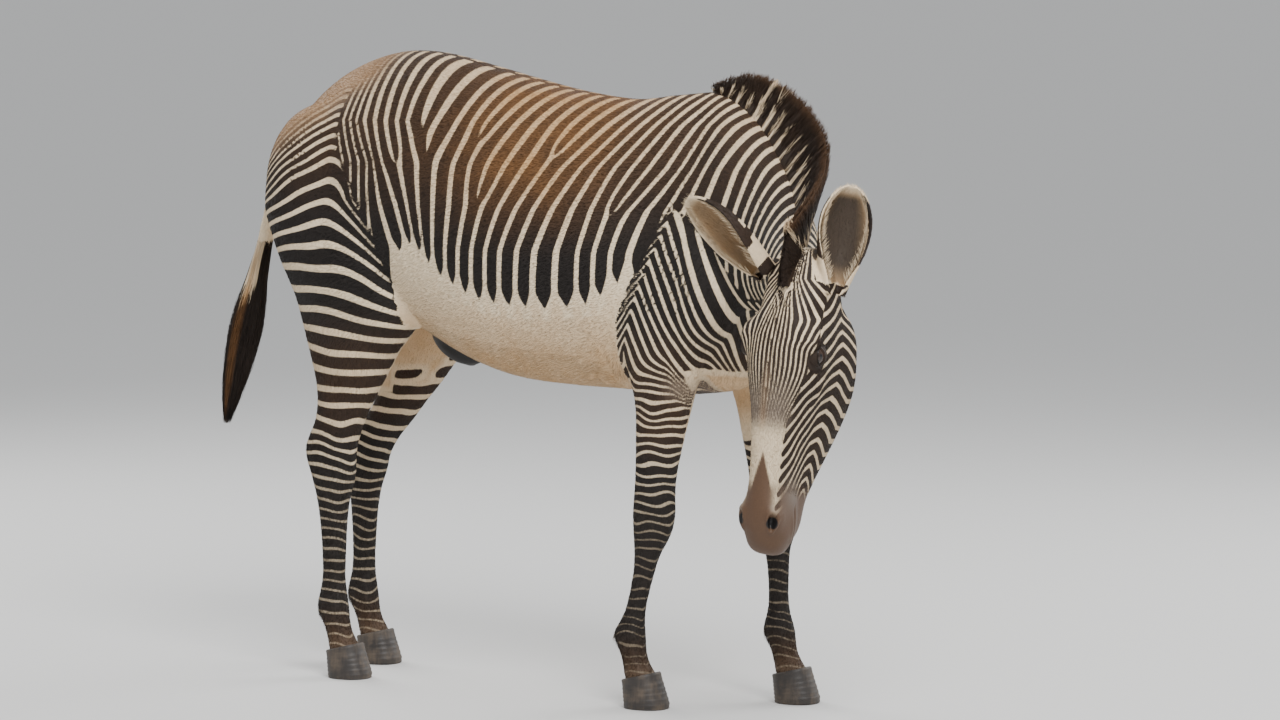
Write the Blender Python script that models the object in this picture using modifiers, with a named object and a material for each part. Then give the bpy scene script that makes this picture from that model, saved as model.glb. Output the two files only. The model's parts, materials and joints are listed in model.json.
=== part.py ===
"""Grevy's zebra stallion, life size, standing still with the head lowered and turned to the right.

Metres, +Z up, floor at z = 0. The animal faces -Y, so its left is +X.
The body is one smooth form, fused from lofted sections, then parted by thin straight cuts into
the nodes that a person would name. Ears, eyes, mane, tail, sheath and hooves are pieces of their own.
"""
import math

import bmesh
import bpy
from mathutils import Matrix, Vector

OBJECT_NAME = "grevys_zebra"

# ---------------------------------------------------------------- driving dimensions
GAP = 0.0003                     # clear space between two pieces that touch in life
FORM_VOXEL = 0.0095              # cell of the fused body form
FORM_TRIANGLES = 4800            # what the fused form is thinned to
HEAD_SHARE = 0.01               # how strongly the thinning spares the head
HEAD_REACH = 0.34                # half the head's length
SMALLEST_SHELL = 12              # fewer faces than this are crumbs of the thinning

HOOF_HEIGHT = 0.078              # at the middle of the coronet
CORONET_TILT = math.radians(14)  # the coronet drops towards the heel

POLL = Vector((-0.417, -0.993, 1.112))
FACE_TURN = math.radians(92)     # the face points this far to the right of straight ahead
FACE_TIP = math.radians(4)       # the muzzle swings forward of plumb by this much
FACE_LEAN = math.radians(4.6)    # the muzzle swings to the animal's right by this much

EYE_RADIUS = 0.0245
EYE_PLACE = (0.0860, 0.036, 0.203)      # lateral, forward, down from the poll
EAR_LENGTH = 0.250
EAR_SKIN = 0.005
MANE_HALF_WIDTH = 0.019

# y, top, widest level, bottom, half width, squareness
TRUNK = (
    (-0.690, 1.110, 1.000, 0.880, 0.070, 2.0),
    (-0.655, 1.220, 1.020, 0.810, 0.130, 2.1),
    (-0.590, 1.370, 1.040, 0.770, 0.172, 2.1),
    (-0.500, 1.470, 1.050, 0.752, 0.198, 2.0),
    (-0.400, 1.472, 1.060, 0.746, 0.222, 2.0),
    (-0.280, 1.460, 1.070, 0.752, 0.252, 2.1),
    (-0.120, 1.476, 1.080, 0.756, 0.276, 2.2),
    (0.030, 1.506, 1.090, 0.768, 0.286, 2.2),
    (0.160, 1.536, 1.120, 0.806, 0.280, 2.2),
    (0.300, 1.566, 1.170, 0.870, 0.266, 2.1),
    (0.420, 1.565, 1.200, 0.930, 0.250, 2.0),
    (0.550, 1.520, 1.220, 0.990, 0.220, 2.0),
    (0.660, 1.436, 1.230, 1.040, 0.170, 2.0),
    (0.735, 1.335, 1.230, 1.110, 0.100, 2.0),
)

# crest x, y, z, heading to the right, pitch down, roll to the left (degrees), full depth, half width
NECK = (
    (0.000, -0.380, 1.455, 0, 0, 0, 0.640, 0.150),
    (0.000, -0.500, 1.482, 6, 10, 0, 0.620, 0.156),
    (-0.025, -0.610, 1.445, 14, 26, 6, 0.550, 0.144),
    (-0.076, -0.710, 1.376, 22, 38, 12, 0.465, 0.122),
    (-0.135, -0.802, 1.285, 33, 42, 16, 0.390, 0.104),
    (-0.225, -0.880, 1.205, 48, 41, 14, 0.325, 0.090),
    (-0.330, -0.940, 1.150, 63, 42, 8, 0.268, 0.080),
    (-0.400, -0.972, 1.120, 74, 54, 2, 0.215, 0.070),
)

# down from the poll, front, middle, back (forward is +), half width, squareness
SKULL = (
    (-0.035, 0.012, -0.020, -0.060, 0.038, 2.0),
    (-0.010, 0.030, -0.020, -0.085, 0.058, 2.0),
    (0.040, 0.052, -0.010, -0.115, 0.077, 2.0),
    (0.100, 0.078, 0.000, -0.130, 0.090, 2.1),
    (0.160, 0.096, 0.010, -0.130, 0.098, 2.2),
    (0.205, 0.101, 0.015, -0.125, 0.099, 2.2),
    (0.270, 0.101, 0.015, -0.105, 0.088, 2.2),
    (0.340, 0.098, 0.015, -0.085, 0.071, 2.2),
    (0.420, 0.094, 0.015, -0.065, 0.057, 2.2),
    (0.500, 0.091, 0.015, -0.050, 0.051, 2.2),
    (0.560, 0.091, 0.015, -0.048, 0.056, 2.2),
    (0.610, 0.084, 0.015, -0.044, 0.057, 2.2),
    (0.648, 0.068, 0.015, -0.040, 0.049, 2.1),
    (0.676, 0.040, 0.008, -0.024, 0.032, 2.0),
)
JAW = (
    (0.085, -0.060, -0.105, -0.150, 0.042, 2.0),
    (0.150, -0.040, -0.105, -0.190, 0.068, 2.2),
    (0.225, -0.020, -0.110, -0.218, 0.080, 2.3),
    (0.300, -0.010, -0.105, -0.224, 0.078, 2.2),
    (0.375, 0.000, -0.085, -0.207, 0.066, 2.0),
    (0.455, 0.000, -0.062, -0.163, 0.051, 2.0),
    (0.540, 0.000, -0.042, -0.108, 0.041, 2.0),
    (0.600, 0.000, -0.040, -0.092, 0.040, 2.0),
    (0.636, 0.000, -0.036, -0.074, 0.033, 2.0),
    (0.654, -0.010, -0.035, -0.050, 0.017, 2.0),
)

# height, middle x, middle y, half width, half depth
FORELEG = (
    (1.260, 0.105, -0.440, 0.070, 0.120),
    (1.120, 0.130, -0.480, 0.085, 0.165),
    (0.990, 0.148, -0.490, 0.088, 0.160),
    (0.890, 0.150, -0.462, 0.082, 0.125),
    (0.805, 0.148, -0.452, 0.069, 0.094),
    (0.730, 0.145, -0.447, 0.058, 0.075),
    (0.650, 0.142, -0.434, 0.050, 0.065),
    (0.570, 0.139, -0.422, 0.043, 0.057),
    (0.515, 0.137, -0.416, 0.045, 0.056),
    (0.465, 0.136, -0.414, 0.047, 0.057),
    (0.415, 0.135, -0.407, 0.041, 0.050),
    (0.370, 0.135, -0.394, 0.030, 0.037),
    (0.310, 0.135, -0.380, 0.026, 0.031),
    (0.235, 0.135, -0.360, 0.026, 0.030),
    (0.175, 0.135, -0.345, 0.037, 0.043),
    (0.120, 0.135, -0.358, 0.033, 0.035),
    (0.070, 0.135, -0.378, 0.041, 0.045),
    (0.030, 0.135, -0.392, 0.038, 0.042),
)
HINDLEG = (
    (1.380, 0.105, 0.480, 0.080, 0.150),
    (1.220, 0.130, 0.520, 0.115, 0.215),
    (1.080, 0.145, 0.485, 0.122, 0.205),
    (0.960, 0.150, 0.455, 0.108, 0.172),
    (0.867, 0.150, 0.455, 0.090, 0.146),
    (0.795, 0.147, 0.468, 0.076, 0.116),
    (0.724, 0.142, 0.486, 0.062, 0.088),
    (0.650, 0.137, 0.514, 0.050, 0.072),
    (0.575, 0.132, 0.548, 0.046, 0.077),
    (0.505, 0.129, 0.542, 0.045, 0.065),
    (0.440, 0.127, 0.545, 0.036, 0.047),
    (0.340, 0.125, 0.545, 0.028, 0.038),
    (0.240, 0.125, 0.546, 0.028, 0.036),
    (0.175, 0.125, 0.549, 0.038, 0.046),
    (0.120, 0.125, 0.532, 0.034, 0.036),
    (0.070, 0.125, 0.512, 0.041, 0.045),
    (0.030, 0.125, 0.498, 0.038, 0.042),
)
# height and how far forward (-) or back (+) of the right leg the left one stands
LEFT_FORE_STEP = ((1.30, 0.0), (1.00, -0.030), (0.80, -0.080), (0.46, -0.175), (0.17, -0.258), (0.0, -0.262))
LEFT_HIND_STEP = ((1.30, 0.0), (0.85, -0.005), (0.72, 0.012), (0.63, 0.034), (0.53, 0.086), (0.17, 0.090), (0.0, 0.085))

# along the tail: x, y, z, half width; the tuft begins at TUFT_START
TAIL = (
    (0.000, 0.640, 1.385, 0.036),
    (0.000, 0.715, 1.345, 0.036),
    (-0.002, 0.774, 1.270, 0.033),
    (-0.010, 0.812, 1.170, 0.030),
    (-0.022, 0.836, 1.070, 0.027),
    (-0.031, 0.852, 0.990, 0.026),
    (-0.040, 0.864, 0.930, 0.037),
    (-0.052, 0.876, 0.850, 0.044),
    (-0.064, 0.888, 0.770, 0.036),
    (-0.077, 0.900, 0.690, 0.023),
    (-0.088, 0.910, 0.615, 0.004),
)
TUFT_START = 5


# ---------------------------------------------------------------- helpers
def smooth_rows(rows, steps):
    """Rows between the given ones, on a Catmull-Rom curve through them."""
    result = []
    for i in range(len(rows) - 1):
        before = rows[max(i - 1, 0)]
        start = rows[i]
        end = rows[i + 1]
        after = rows[min(i + 2, len(rows) - 1)]
        for k in range(steps):
            t = k / steps
            row = []
            for a, b, c, d in zip(before, start, end, after):
                value = 2 * b + (c - a) * t
                value += (2 * a - 5 * b + 4 * c - d) * t * t
                value += (3 * b - a - 3 * c + d) * t ** 3
                row.append(value / 2)
            result.append(tuple(row))
    result.append(tuple(rows[-1]))
    return result


def along(table, key):
    """Straight interpolation in a table of (key, value) with falling keys."""
    if key >= table[0][0]:
        return table[0][1]
    for (high, first), (low, second) in zip(table, table[1:]):
        if key >= low:
            return first + (second - first) * (high - key) / (high - low)
    return table[-1][1]


def ring(centre, side, up, half_width, rise, drop, squareness=2.0, count=28):
    """One closed section: an ellipse with its own upper and lower half heights."""
    points = []
    for i in range(count):
        angle = 2 * math.pi * i / count
        c = math.cos(angle)
        s = math.sin(angle)
        across = half_width * math.copysign(abs(c) ** (2 / squareness), c)
        height = (rise if s >= 0 else drop) * math.copysign(abs(s) ** (2 / squareness), s)
        points.append(centre + side * across + up * height)
    return points


def loft(bm, rings):
    """Skin over a row of sections, with both ends closed."""
    loops = [[bm.verts.new(point) for point in points] for points in rings]
    count = len(loops[0])
    for first, second in zip(loops, loops[1:]):
        for i in range(count):
            j = (i + 1) % count
            bm.faces.new((first[i], first[j], second[j], second[i]))
    bm.faces.new(list(reversed(loops[0])))
    bm.faces.new(loops[-1])


def ball(bm, centre, radii, axes=None, segments=20):
    """An ellipsoid; axes are the three directions that its radii lie along."""
    made = bmesh.ops.create_uvsphere(bm, u_segments=segments, v_segments=segments // 2, radius=1.0)
    frame = Matrix.Identity(3) if axes is None else Matrix(axes).transposed()
    for vert in made["verts"]:
        vert.co = Vector(centre) + frame @ Vector(a * r for a, r in zip(vert.co, radii))


def path_frames(points):
    """A direction and an upper normal at each point of a path that stays near the midline."""
    frames = []
    for i in range(len(points)):
        ahead = points[min(i + 1, len(points) - 1)]
        behind = points[max(i - 1, 0)]
        direction = (ahead - behind).normalized()
        side = Vector((1, 0, 0))
        side = (side - direction * side.dot(direction)).normalized()
        frames.append((direction, side, side.cross(direction)))
    return frames


def new_object(name, bm, collection, recalc=True):
    """A mesh object from bmesh data."""
    if recalc:
        bmesh.ops.recalc_face_normals(bm, faces=bm.faces[:])
        if bm.calc_volume(signed=True) < 0:
            bmesh.ops.reverse_faces(bm, faces=bm.faces[:])
    mesh = bpy.data.meshes.new(name)
    bm.to_mesh(mesh)
    bm.free()
    made = bpy.data.objects.new(name, mesh)
    collection.objects.link(made)
    return made


def settle(target):
    """Give an object the mesh that its modifiers make, and drop the modifiers."""
    graph = bpy.context.evaluated_depsgraph_get()
    mesh = bpy.data.meshes.new_from_object(target.evaluated_get(graph))
    target.modifiers.clear()
    old = target.data
    target.data = mesh
    bpy.data.meshes.remove(old)


def cut(target, cutter, operation="DIFFERENCE"):
    """Boolean one object with another."""
    modifier = target.modifiers.new("cut", "BOOLEAN")
    modifier.operation = operation
    modifier.solver = "EXACT"
    modifier.object = cutter
    settle(target)


def swollen(source, amount, collection):
    """A copy of an object, grown outwards, to clear its neighbours with."""
    copy = bpy.data.objects.new(source.name + "_clearance", source.data.copy())
    collection.objects.link(copy)
    modifier = copy.modifiers.new("grow", "DISPLACE")
    modifier.strength = amount
    modifier.mid_level = 0.0
    modifier.direction = "NORMAL"
    settle(copy)
    return copy


def triangulated(target):
    """Split every face of an object into triangles."""
    bm = bmesh.new()
    bm.from_mesh(target.data)
    bmesh.ops.triangulate(bm, faces=bm.faces[:])
    bm.to_mesh(target.data)
    bm.free()


# ---------------------------------------------------------------- head frame
def head_axes():
    """The head's own axes: its left, its front and down along the face."""
    front = Vector((-math.sin(FACE_TURN), -math.cos(FACE_TURN), 0))
    left = Vector((-front.y, front.x, 0))
    down = Vector((0, 0, -1)) + front * math.tan(FACE_TIP) - left * math.tan(FACE_LEAN)
    down.normalize()
    left = (left - down * left.dot(down)).normalized()
    return left, down.cross(left), down


def head_point(lateral, forward, down):
    """A point given in the head's own measures."""
    left_axis, front_axis, down_axis = head_axes()
    return POLL + left_axis * lateral + front_axis * forward + down_axis * down


# ---------------------------------------------------------------- body form
def add_trunk(bm):
    """Barrel, chest and rump, from cross sections along the midline."""
    rings = []
    for y, top, middle, bottom, half, square in smooth_rows(TRUNK, 4):
        centre = Vector((0, y, middle))
        rings.append(ring(centre, Vector((1, 0, 0)), Vector((0, 0, 1)), half,
                          top - middle, middle - bottom, square, 36))
    loft(bm, rings)


def neck_frames():
    """Crest point, side, upper normal, depth and half width down the neck."""
    frames = []
    for x, y, z, heading, pitch, roll, depth, half in smooth_rows(NECK, 4):
        h = math.radians(heading)
        p = math.radians(pitch)
        flat = Vector((-math.sin(h), -math.cos(h), 0))
        ahead = flat * math.cos(p) - Vector((0, 0, 1)) * math.sin(p)
        turn = Matrix.Rotation(math.radians(-roll), 3, ahead)
        side = turn @ Vector((math.cos(h), -math.sin(h), 0))
        frames.append((Vector((x, y, z)), side, ahead.cross(side), depth, half))
    return frames


def add_neck(bm):
    """The neck, from sections hung under its crest line."""
    rings = []
    for crest, side, up, depth, half in neck_frames():
        centre = crest - up * depth * 0.55
        rings.append(ring(centre, side, up, half, depth * 0.55, depth * 0.45, 1.9))
    loft(bm, rings)


def add_head(bm):
    """Skull, jaw, brow, cheek, nostrils, lips and chin."""
    left, front, down = head_axes()
    axes = (left, front, down)
    for table in (SKULL, JAW):
        rings = []
        for s, fore, middle, aft, half, square in smooth_rows(table, 3):
            centre = POLL + down * s + front * middle
            rings.append(ring(centre, left, front, half, fore - middle, middle - aft, square))
        loft(bm, rings)
    for side in (1, -1):
        ball(bm, head_point(side * 0.082, 0.048, 0.178), (0.029, 0.034, 0.044), axes)
        ball(bm, head_point(side * 0.078, 0.018, 0.250), (0.019, 0.026, 0.056), axes)
        ball(bm, head_point(side * 0.058, -0.085, 0.215), (0.034, 0.092, 0.110), axes)
        ball(bm, head_point(side * 0.038, 0.052, 0.583), (0.024, 0.034, 0.040), axes)
        ball(bm, head_point(side * 0.058, -0.006, 0.045), (0.028, 0.038, 0.045), axes)
        ball(bm, head_point(side * 0.022, 0.028, 0.640), (0.026, 0.036, 0.032), axes)
    ball(bm, head_point(0, -0.048, 0.612), (0.034, 0.036, 0.034), axes)


def leg_rows(table, steps):
    """Leg sections, with the left leg's own stance."""
    rows = smooth_rows(table, 3)
    return [(z, x, y + along(steps, z), half, deep) for z, x, y, half, deep in rows]


def add_leg(bm, side, table, steps):
    """One leg, from level sections between the trunk and the hoof."""
    rings = []
    for z, x, y, half, deep in leg_rows(table, steps):
        centre = Vector((side * x, y, z))
        rings.append(ring(centre, Vector((1, 0, 0)), Vector((0, -1, 0)), half, deep, deep, 2.1, 20))
    loft(bm, rings)


def add_muscles(bm):
    """Masses that the sections don't give: shoulder, upper arm, haunch, hip and stifle."""
    for side in (1, -1):
        slant = (Vector((1, 0, 0)), Vector((0, 0.86, 0.5)), Vector((0, -0.5, 0.86)))
        step = LEFT_FORE_STEP if side == 1 else ((1.0, 0.0),)
        ball(bm, (side * 0.116, -0.490, 1.130), (0.082, 0.150, 0.215), slant)
        shift = along(step, 0.98)
        ball(bm, (side * 0.135, -0.545 + shift, 1.000), (0.085, 0.125, 0.130))
        ball(bm, (side * 0.150, -0.420 + shift, 0.985), (0.078, 0.110, 0.150))
        ball(bm, (side * 0.135, 0.560, 1.225), (0.110, 0.170, 0.215))
        ball(bm, (side * 0.165, 0.300, 1.220), (0.096, 0.160, 0.200))
        ball(bm, (side * 0.160, 0.390, 0.960), (0.095, 0.130, 0.150))
        ball(bm, (side * 0.080, 0.640, 1.200), (0.070, 0.120, 0.150))


def body_form(collection):
    """The whole body as one closed form, thinned with the head kept finer."""
    bm = bmesh.new()
    add_trunk(bm)
    add_neck(bm)
    add_head(bm)
    none = ((1.0, 0.0),)
    add_leg(bm, -1, FORELEG, none)
    add_leg(bm, 1, FORELEG, LEFT_FORE_STEP)
    add_leg(bm, -1, HINDLEG, none)
    add_leg(bm, 1, HINDLEG, LEFT_HIND_STEP)
    add_muscles(bm)
    form = new_object("body_form", bm, collection)
    fuse = form.modifiers.new("fuse", "REMESH")
    fuse.mode = "VOXEL"
    fuse.voxel_size = FORM_VOXEL
    soften = form.modifiers.new("soften", "SMOOTH")
    soften.factor = 0.6
    soften.iterations = 14
    settle(form)
    spare = form.vertex_groups.new(name="thin_here")
    middle = head_point(0, 0, HEAD_REACH)
    for vert in form.data.vertices:
        near = (HEAD_REACH + 0.08 - (middle - vert.co).length) / 0.10
        spare.add([vert.index], 1.0 - HEAD_SHARE * max(0.0, min(1.0, near)), "REPLACE")
    triangles = 2 * len(form.data.polygons)
    thin = form.modifiers.new("thin", "DECIMATE")
    thin.ratio = FORM_TRIANGLES / triangles
    thin.vertex_group = spare.name
    settle(form)
    form.vertex_groups.clear()
    triangulated(form)
    return form


# ---------------------------------------------------------------- parting the form
def slab(name, centre, normal, across, span, lift, thickness, collection):
    """A thin box that parts the form; across and span are its full lengths in its own plane."""
    normal = Vector(normal).normalized()
    across_axis = Vector(across)
    across_axis = (across_axis - normal * across_axis.dot(normal)).normalized()
    frame = Matrix((across_axis, normal.cross(across_axis), normal)).transposed()
    bm = bmesh.new()
    bmesh.ops.create_cube(bm, size=1.0)
    for vert in bm.verts:
        local = Vector((vert.co.x * span, vert.co.y * lift, vert.co.z * thickness))
        vert.co = Vector(centre) + frame @ local
    return new_object(name, bm, collection)


def leg_place(table, steps, height, side):
    """Where the middle of a leg is at some height."""
    rows = leg_rows(table, steps)
    for upper, lower in zip(rows, rows[1:]):
        if upper[0] >= height >= lower[0]:
            t = (upper[0] - height) / (upper[0] - lower[0])
            return Vector((side * (upper[1] + (lower[1] - upper[1]) * t),
                           upper[2] + (lower[2] - upper[2]) * t, height))
    raise ValueError("height is off the leg")


def legs():
    """Name, side, section table, step table, hock or knee height and fetlock height of each leg."""
    none = ((1.0, 0.0),)
    return (
        ("foreleg_right", -1, FORELEG, none, 0.405, 0.215),
        ("foreleg_left", 1, FORELEG, LEFT_FORE_STEP, 0.405, 0.215),
        ("hindleg_right", -1, HINDLEG, none, 0.485, 0.215),
        ("hindleg_left", 1, HINDLEG, LEFT_HIND_STEP, 0.485, 0.215),
    )


def part_form(form, guides):
    """Cut the fused form along the neck, head and legs, and return its pieces."""
    cutters = []
    cutters.append(slab("cut_neck", (0, -0.650, 1.240), (0, -0.936, 0.351), (1, 0, 0), 0.8, 1.3, GAP, guides))
    left, front, down = head_axes()
    centre = head_point(-0.080, -0.125, 0.062)
    normal = -down * 0.68 - front * 0.73
    cutters.append(slab("cut_head", centre, normal, left, 0.38, 0.60, GAP, guides))
    for name, side, table, steps, joint, fetlock in legs():
        hind = name.startswith("hind")
        base = 0.728 if hind else 0.662
        middle = leg_place(table, steps, 0.86 if hind else 0.80, side)
        lean = Vector((-side, 0, 1))
        x = side * 0.15
        y = 0.525 if hind else middle.y + 0.01
        length = 0.58 if hind else 0.36
        top = Vector((x, y, base + abs(x)))
        cutters.append(slab("cut_" + name, top, lean, (1, 0, 0), 0.40, length, GAP, guides))
        for part, height in (("joint", joint), ("fetlock", fetlock)):
            spot = leg_place(table, steps, height, side)
            cutters.append(slab("cut_" + name + "_" + part, spot, (0, 0, 1), (1, 0, 0), 0.19, 0.24, GAP, guides))
        spot = leg_place(table, steps, HOOF_HEIGHT, side)
        tilt = Vector((0, math.sin(CORONET_TILT), math.cos(CORONET_TILT)))
        below = spot - tilt * 0.08
        cutters.append(slab("cut_" + name + "_hoof", below, tilt, (1, 0, 0), 0.2, 0.3, 0.16, guides))
    for cutter in cutters:
        cut(form, cutter)
    return loose_parts(form)


def loose_parts(form):
    """The separate shells of a mesh, as lists of face indices turned into objects."""
    bm = bmesh.new()
    bm.from_mesh(form.data)
    bm.faces.ensure_lookup_table()
    seen = set()
    shells = []
    for seed in bm.faces:
        if seed.index in seen:
            continue
        stack = [seed]
        seen.add(seed.index)
        shell = []
        while stack:
            face = stack.pop()
            shell.append(face.index)
            for edge in face.edges:
                for other in edge.link_faces:
                    if other.index not in seen:
                        seen.add(other.index)
                        stack.append(other)
        if len(shell) >= SMALLEST_SHELL:
            shells.append(shell)
    meshes = []
    for shell in shells:
        keep = set(shell)
        copy = bm.copy()
        copy.faces.ensure_lookup_table()
        drop = [face for face in copy.faces if face.index not in keep]
        bmesh.ops.delete(copy, geom=drop, context="FACES")
        meshes.append(copy)
    bm.free()
    return meshes


def name_pieces(meshes, parts):
    """Give each shell the name of the landmark nearest to its middle."""
    marks = {
        "trunk": Vector((0, 0.0, 1.12)),
        "neck": Vector((-0.13, -0.76, 1.24)),
        "head": head_point(0, 0.0, 0.30),
    }
    for name, side, table, steps, joint, fetlock in legs():
        marks[name + "_upper"] = leg_place(table, steps, (joint + 0.85) / 2, side)
        marks[name + "_cannon"] = leg_place(table, steps, (joint + fetlock) / 2, side)
        marks[name + "_pastern"] = leg_place(table, steps, 0.145, side)
    pieces = {}
    for bm in meshes:
        lows = Vector(min(vert.co[i] for vert in bm.verts) for i in range(3))
        highs = Vector(max(vert.co[i] for vert in bm.verts) for i in range(3))
        middle = (lows + highs) / 2
        name = min(marks, key=lambda mark: (marks[mark] - middle).length)
        if name in pieces:
            raise ValueError("two shells for " + name)
        pieces[name] = new_object(name, bm, parts, recalc=False)
    return pieces


# ---------------------------------------------------------------- pieces of their own
def make_eye(name, side, head, parts, guides):
    """An eyeball, and its socket in the head."""
    lateral, forward, drop = EYE_PLACE
    place = head_point(side * lateral, forward, drop)
    bm = bmesh.new()
    ball(bm, place, (EYE_RADIUS,) * 3, head_axes(), 14)
    eye = new_object(name, bm, parts)
    triangulated(eye)
    socket = bmesh.new()
    room = EYE_RADIUS + 2 * GAP
    ball(socket, place, (room,) * 3, head_axes(), 14)
    cut(head, new_object(name + "_socket", socket, guides))
    return eye


def make_ear(name, base, axis, opening, parts):
    """A cupped ear: an open surface with a thickness."""
    axis = axis.normalized()
    opening = (opening - axis * opening.dot(axis)).normalized()
    side = axis.cross(opening)
    # distance along the ear, half width, how far round the rim comes
    shape = ((0.00, 0.028, 165), (0.14, 0.036, 150), (0.32, 0.048, 125), (0.52, 0.056, 106),
             (0.70, 0.055, 95), (0.84, 0.044, 88), (0.94, 0.028, 82), (1.00, 0.011, 75))
    bm = bmesh.new()
    rows = []
    for along_ear, radius, reach in smooth_rows(shape, 1):
        row = []
        for k in range(-4, 5):
            angle = math.radians(reach) * k / 4
            depth = 0.85 - 0.25 * along_ear
            point = base + axis * along_ear * EAR_LENGTH
            point += side * radius * math.sin(angle) - opening * radius * depth * math.cos(angle)
            row.append(bm.verts.new(point))
        rows.append(row)
    for first, second in zip(rows, rows[1:]):
        for i in range(len(first) - 1):
            bm.faces.new((first[i], first[i + 1], second[i + 1], second[i]))
    ear = new_object(name, bm, parts, recalc=False)
    wall = ear.modifiers.new("wall", "SOLIDIFY")
    wall.thickness = EAR_SKIN
    wall.offset = 0.0
    settle(ear)
    triangulated(ear)
    return ear


def make_mane(parts):
    """The upright mane along the crest, ending in the forelock between the ears."""
    rings = []
    frames = neck_frames()[4::3]
    count = len(frames)
    for i, (crest, side, up, depth, half) in enumerate(frames):
        t = i / (count - 1)
        height = 0.040 + 0.122 * math.sin(min(t * 2.8, math.pi / 2)) - 0.020 * t
        rings.append(ring(crest - up * 0.02, side, up, MANE_HALF_WIDTH, height + 0.02, 0.02, 1.7, 8))
    left, front, down = head_axes()
    for forward, drop, height, turn in ((0.020, -0.022, 0.085, 0.75), (0.040, 0.002, 0.052, 0.95),
                                        (0.058, 0.030, 0.030, 1.2), (0.070, 0.054, 0.010, 1.35)):
        up = front * math.sin(turn) - down * math.cos(turn)
        base = head_point(0, forward, drop)
        rings.append(ring(base - up * 0.015, left, up, MANE_HALF_WIDTH * 0.75, height + 0.015, 0.01, 1.7, 8))
    bm = bmesh.new()
    loft(bm, rings)
    mane = new_object("mane", bm, parts)
    triangulated(mane)
    return mane


def make_tail(parts, guides):
    """The tail, from sections across its path, parted into the dock and the long-haired tuft."""
    rows = smooth_rows(TAIL, 2)
    points = [Vector(row[:3]) for row in rows]
    frames = path_frames(points)
    rings = []
    for point, row, (direction, side, up) in zip(points, rows, frames):
        rings.append(ring(point, side, up, row[3], row[3] * 0.85, row[3] * 0.85, 2.0, 12))
    bm = bmesh.new()
    loft(bm, rings)
    tail = new_object("tail", bm, guides)
    triangulated(tail)
    start = 2 * TUFT_START
    cut(tail, slab("cut_tail", points[start], frames[start][0], (1, 0, 0), 0.2, 0.2, GAP, guides))
    shells = loose_parts(tail)
    shells.sort(key=lambda bm: min(vert.co.z for vert in bm.verts))
    tuft = new_object("tail_tuft", shells[0], parts, recalc=False)
    dock = new_object("tail_dock", shells[1], parts, recalc=False)
    return dock, tuft


def make_sheath(parts):
    """The stallion's sheath under the groin."""
    bm = bmesh.new()
    axes = (Vector((1, 0, 0)), Vector((0, 0.90, 0.43)), Vector((0, -0.43, 0.90)))
    ball(bm, (0, 0.252, 0.838), (0.040, 0.088, 0.046), axes, 16)
    sheath = new_object("sheath", bm, parts)
    triangulated(sheath)
    return sheath


def make_hoof(name, table, steps, side, parts):
    """One hoof: a flat sole on the floor, sloping wall and a tilted coronet."""
    spot = leg_place(table, steps, HOOF_HEIGHT, side)
    rings = []
    # share of the way down, half width, reach forward, reach back, shift forward
    for t, half, fore, aft, shift in ((0.0, 0.042, 0.047, 0.045, 0.0), (0.35, 0.045, 0.053, 0.046, 0.004),
                                      (0.85, 0.049, 0.063, 0.047, 0.010), (1.0, 0.0485, 0.0625, 0.046, 0.010)):
        points = ring(spot + Vector((0, -shift, 0)), Vector((1, 0, 0)), Vector((0, -1, 0)), half, fore, aft, 2.3, 14)
        for point in points:
            top = HOOF_HEIGHT - GAP - (point.y - spot.y) * math.tan(CORONET_TILT)
            point.z = top * (1 - t)
        rings.append(points)
    bm = bmesh.new()
    loft(bm, rings)
    hoof = new_object(name, bm, parts)
    triangulated(hoof)
    return hoof


# ---------------------------------------------------------------- finish and assembly
FINISHES = {
    "coat": ((0.42, 0.36, 0.29), 0.75),
    "dark_hair": ((0.03, 0.025, 0.022), 0.8),
    "eye": ((0.02, 0.012, 0.008), 0.1),
    "hoof": ((0.06, 0.052, 0.045), 0.5),
    "bare_skin": ((0.045, 0.035, 0.03), 0.6),
}


def finish_of(name):
    """Which finish a piece takes."""
    if name.startswith("eye"):
        return "eye"
    if name.endswith("hoof"):
        return "hoof"
    if name in ("mane", "tail_tuft"):
        return "dark_hair"
    if name == "sheath":
        return "bare_skin"
    return "coat"


def paint(target):
    """Give a piece a material of its own."""
    colour, roughness = FINISHES[finish_of(target.name)]
    material = bpy.data.materials.new(target.name)
    material.use_nodes = True
    shader = material.node_tree.nodes["Principled BSDF"]
    shader.inputs["Base Color"].default_value = (*colour, 1.0)
    shader.inputs["Roughness"].default_value = roughness
    material.diffuse_color = (*colour, 1.0)
    target.data.materials.clear()
    target.data.materials.append(material)


def collection_of(name):
    """A new collection in the scene."""
    made = bpy.data.collections.new(name)
    bpy.context.scene.collection.children.link(made)
    return made


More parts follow.
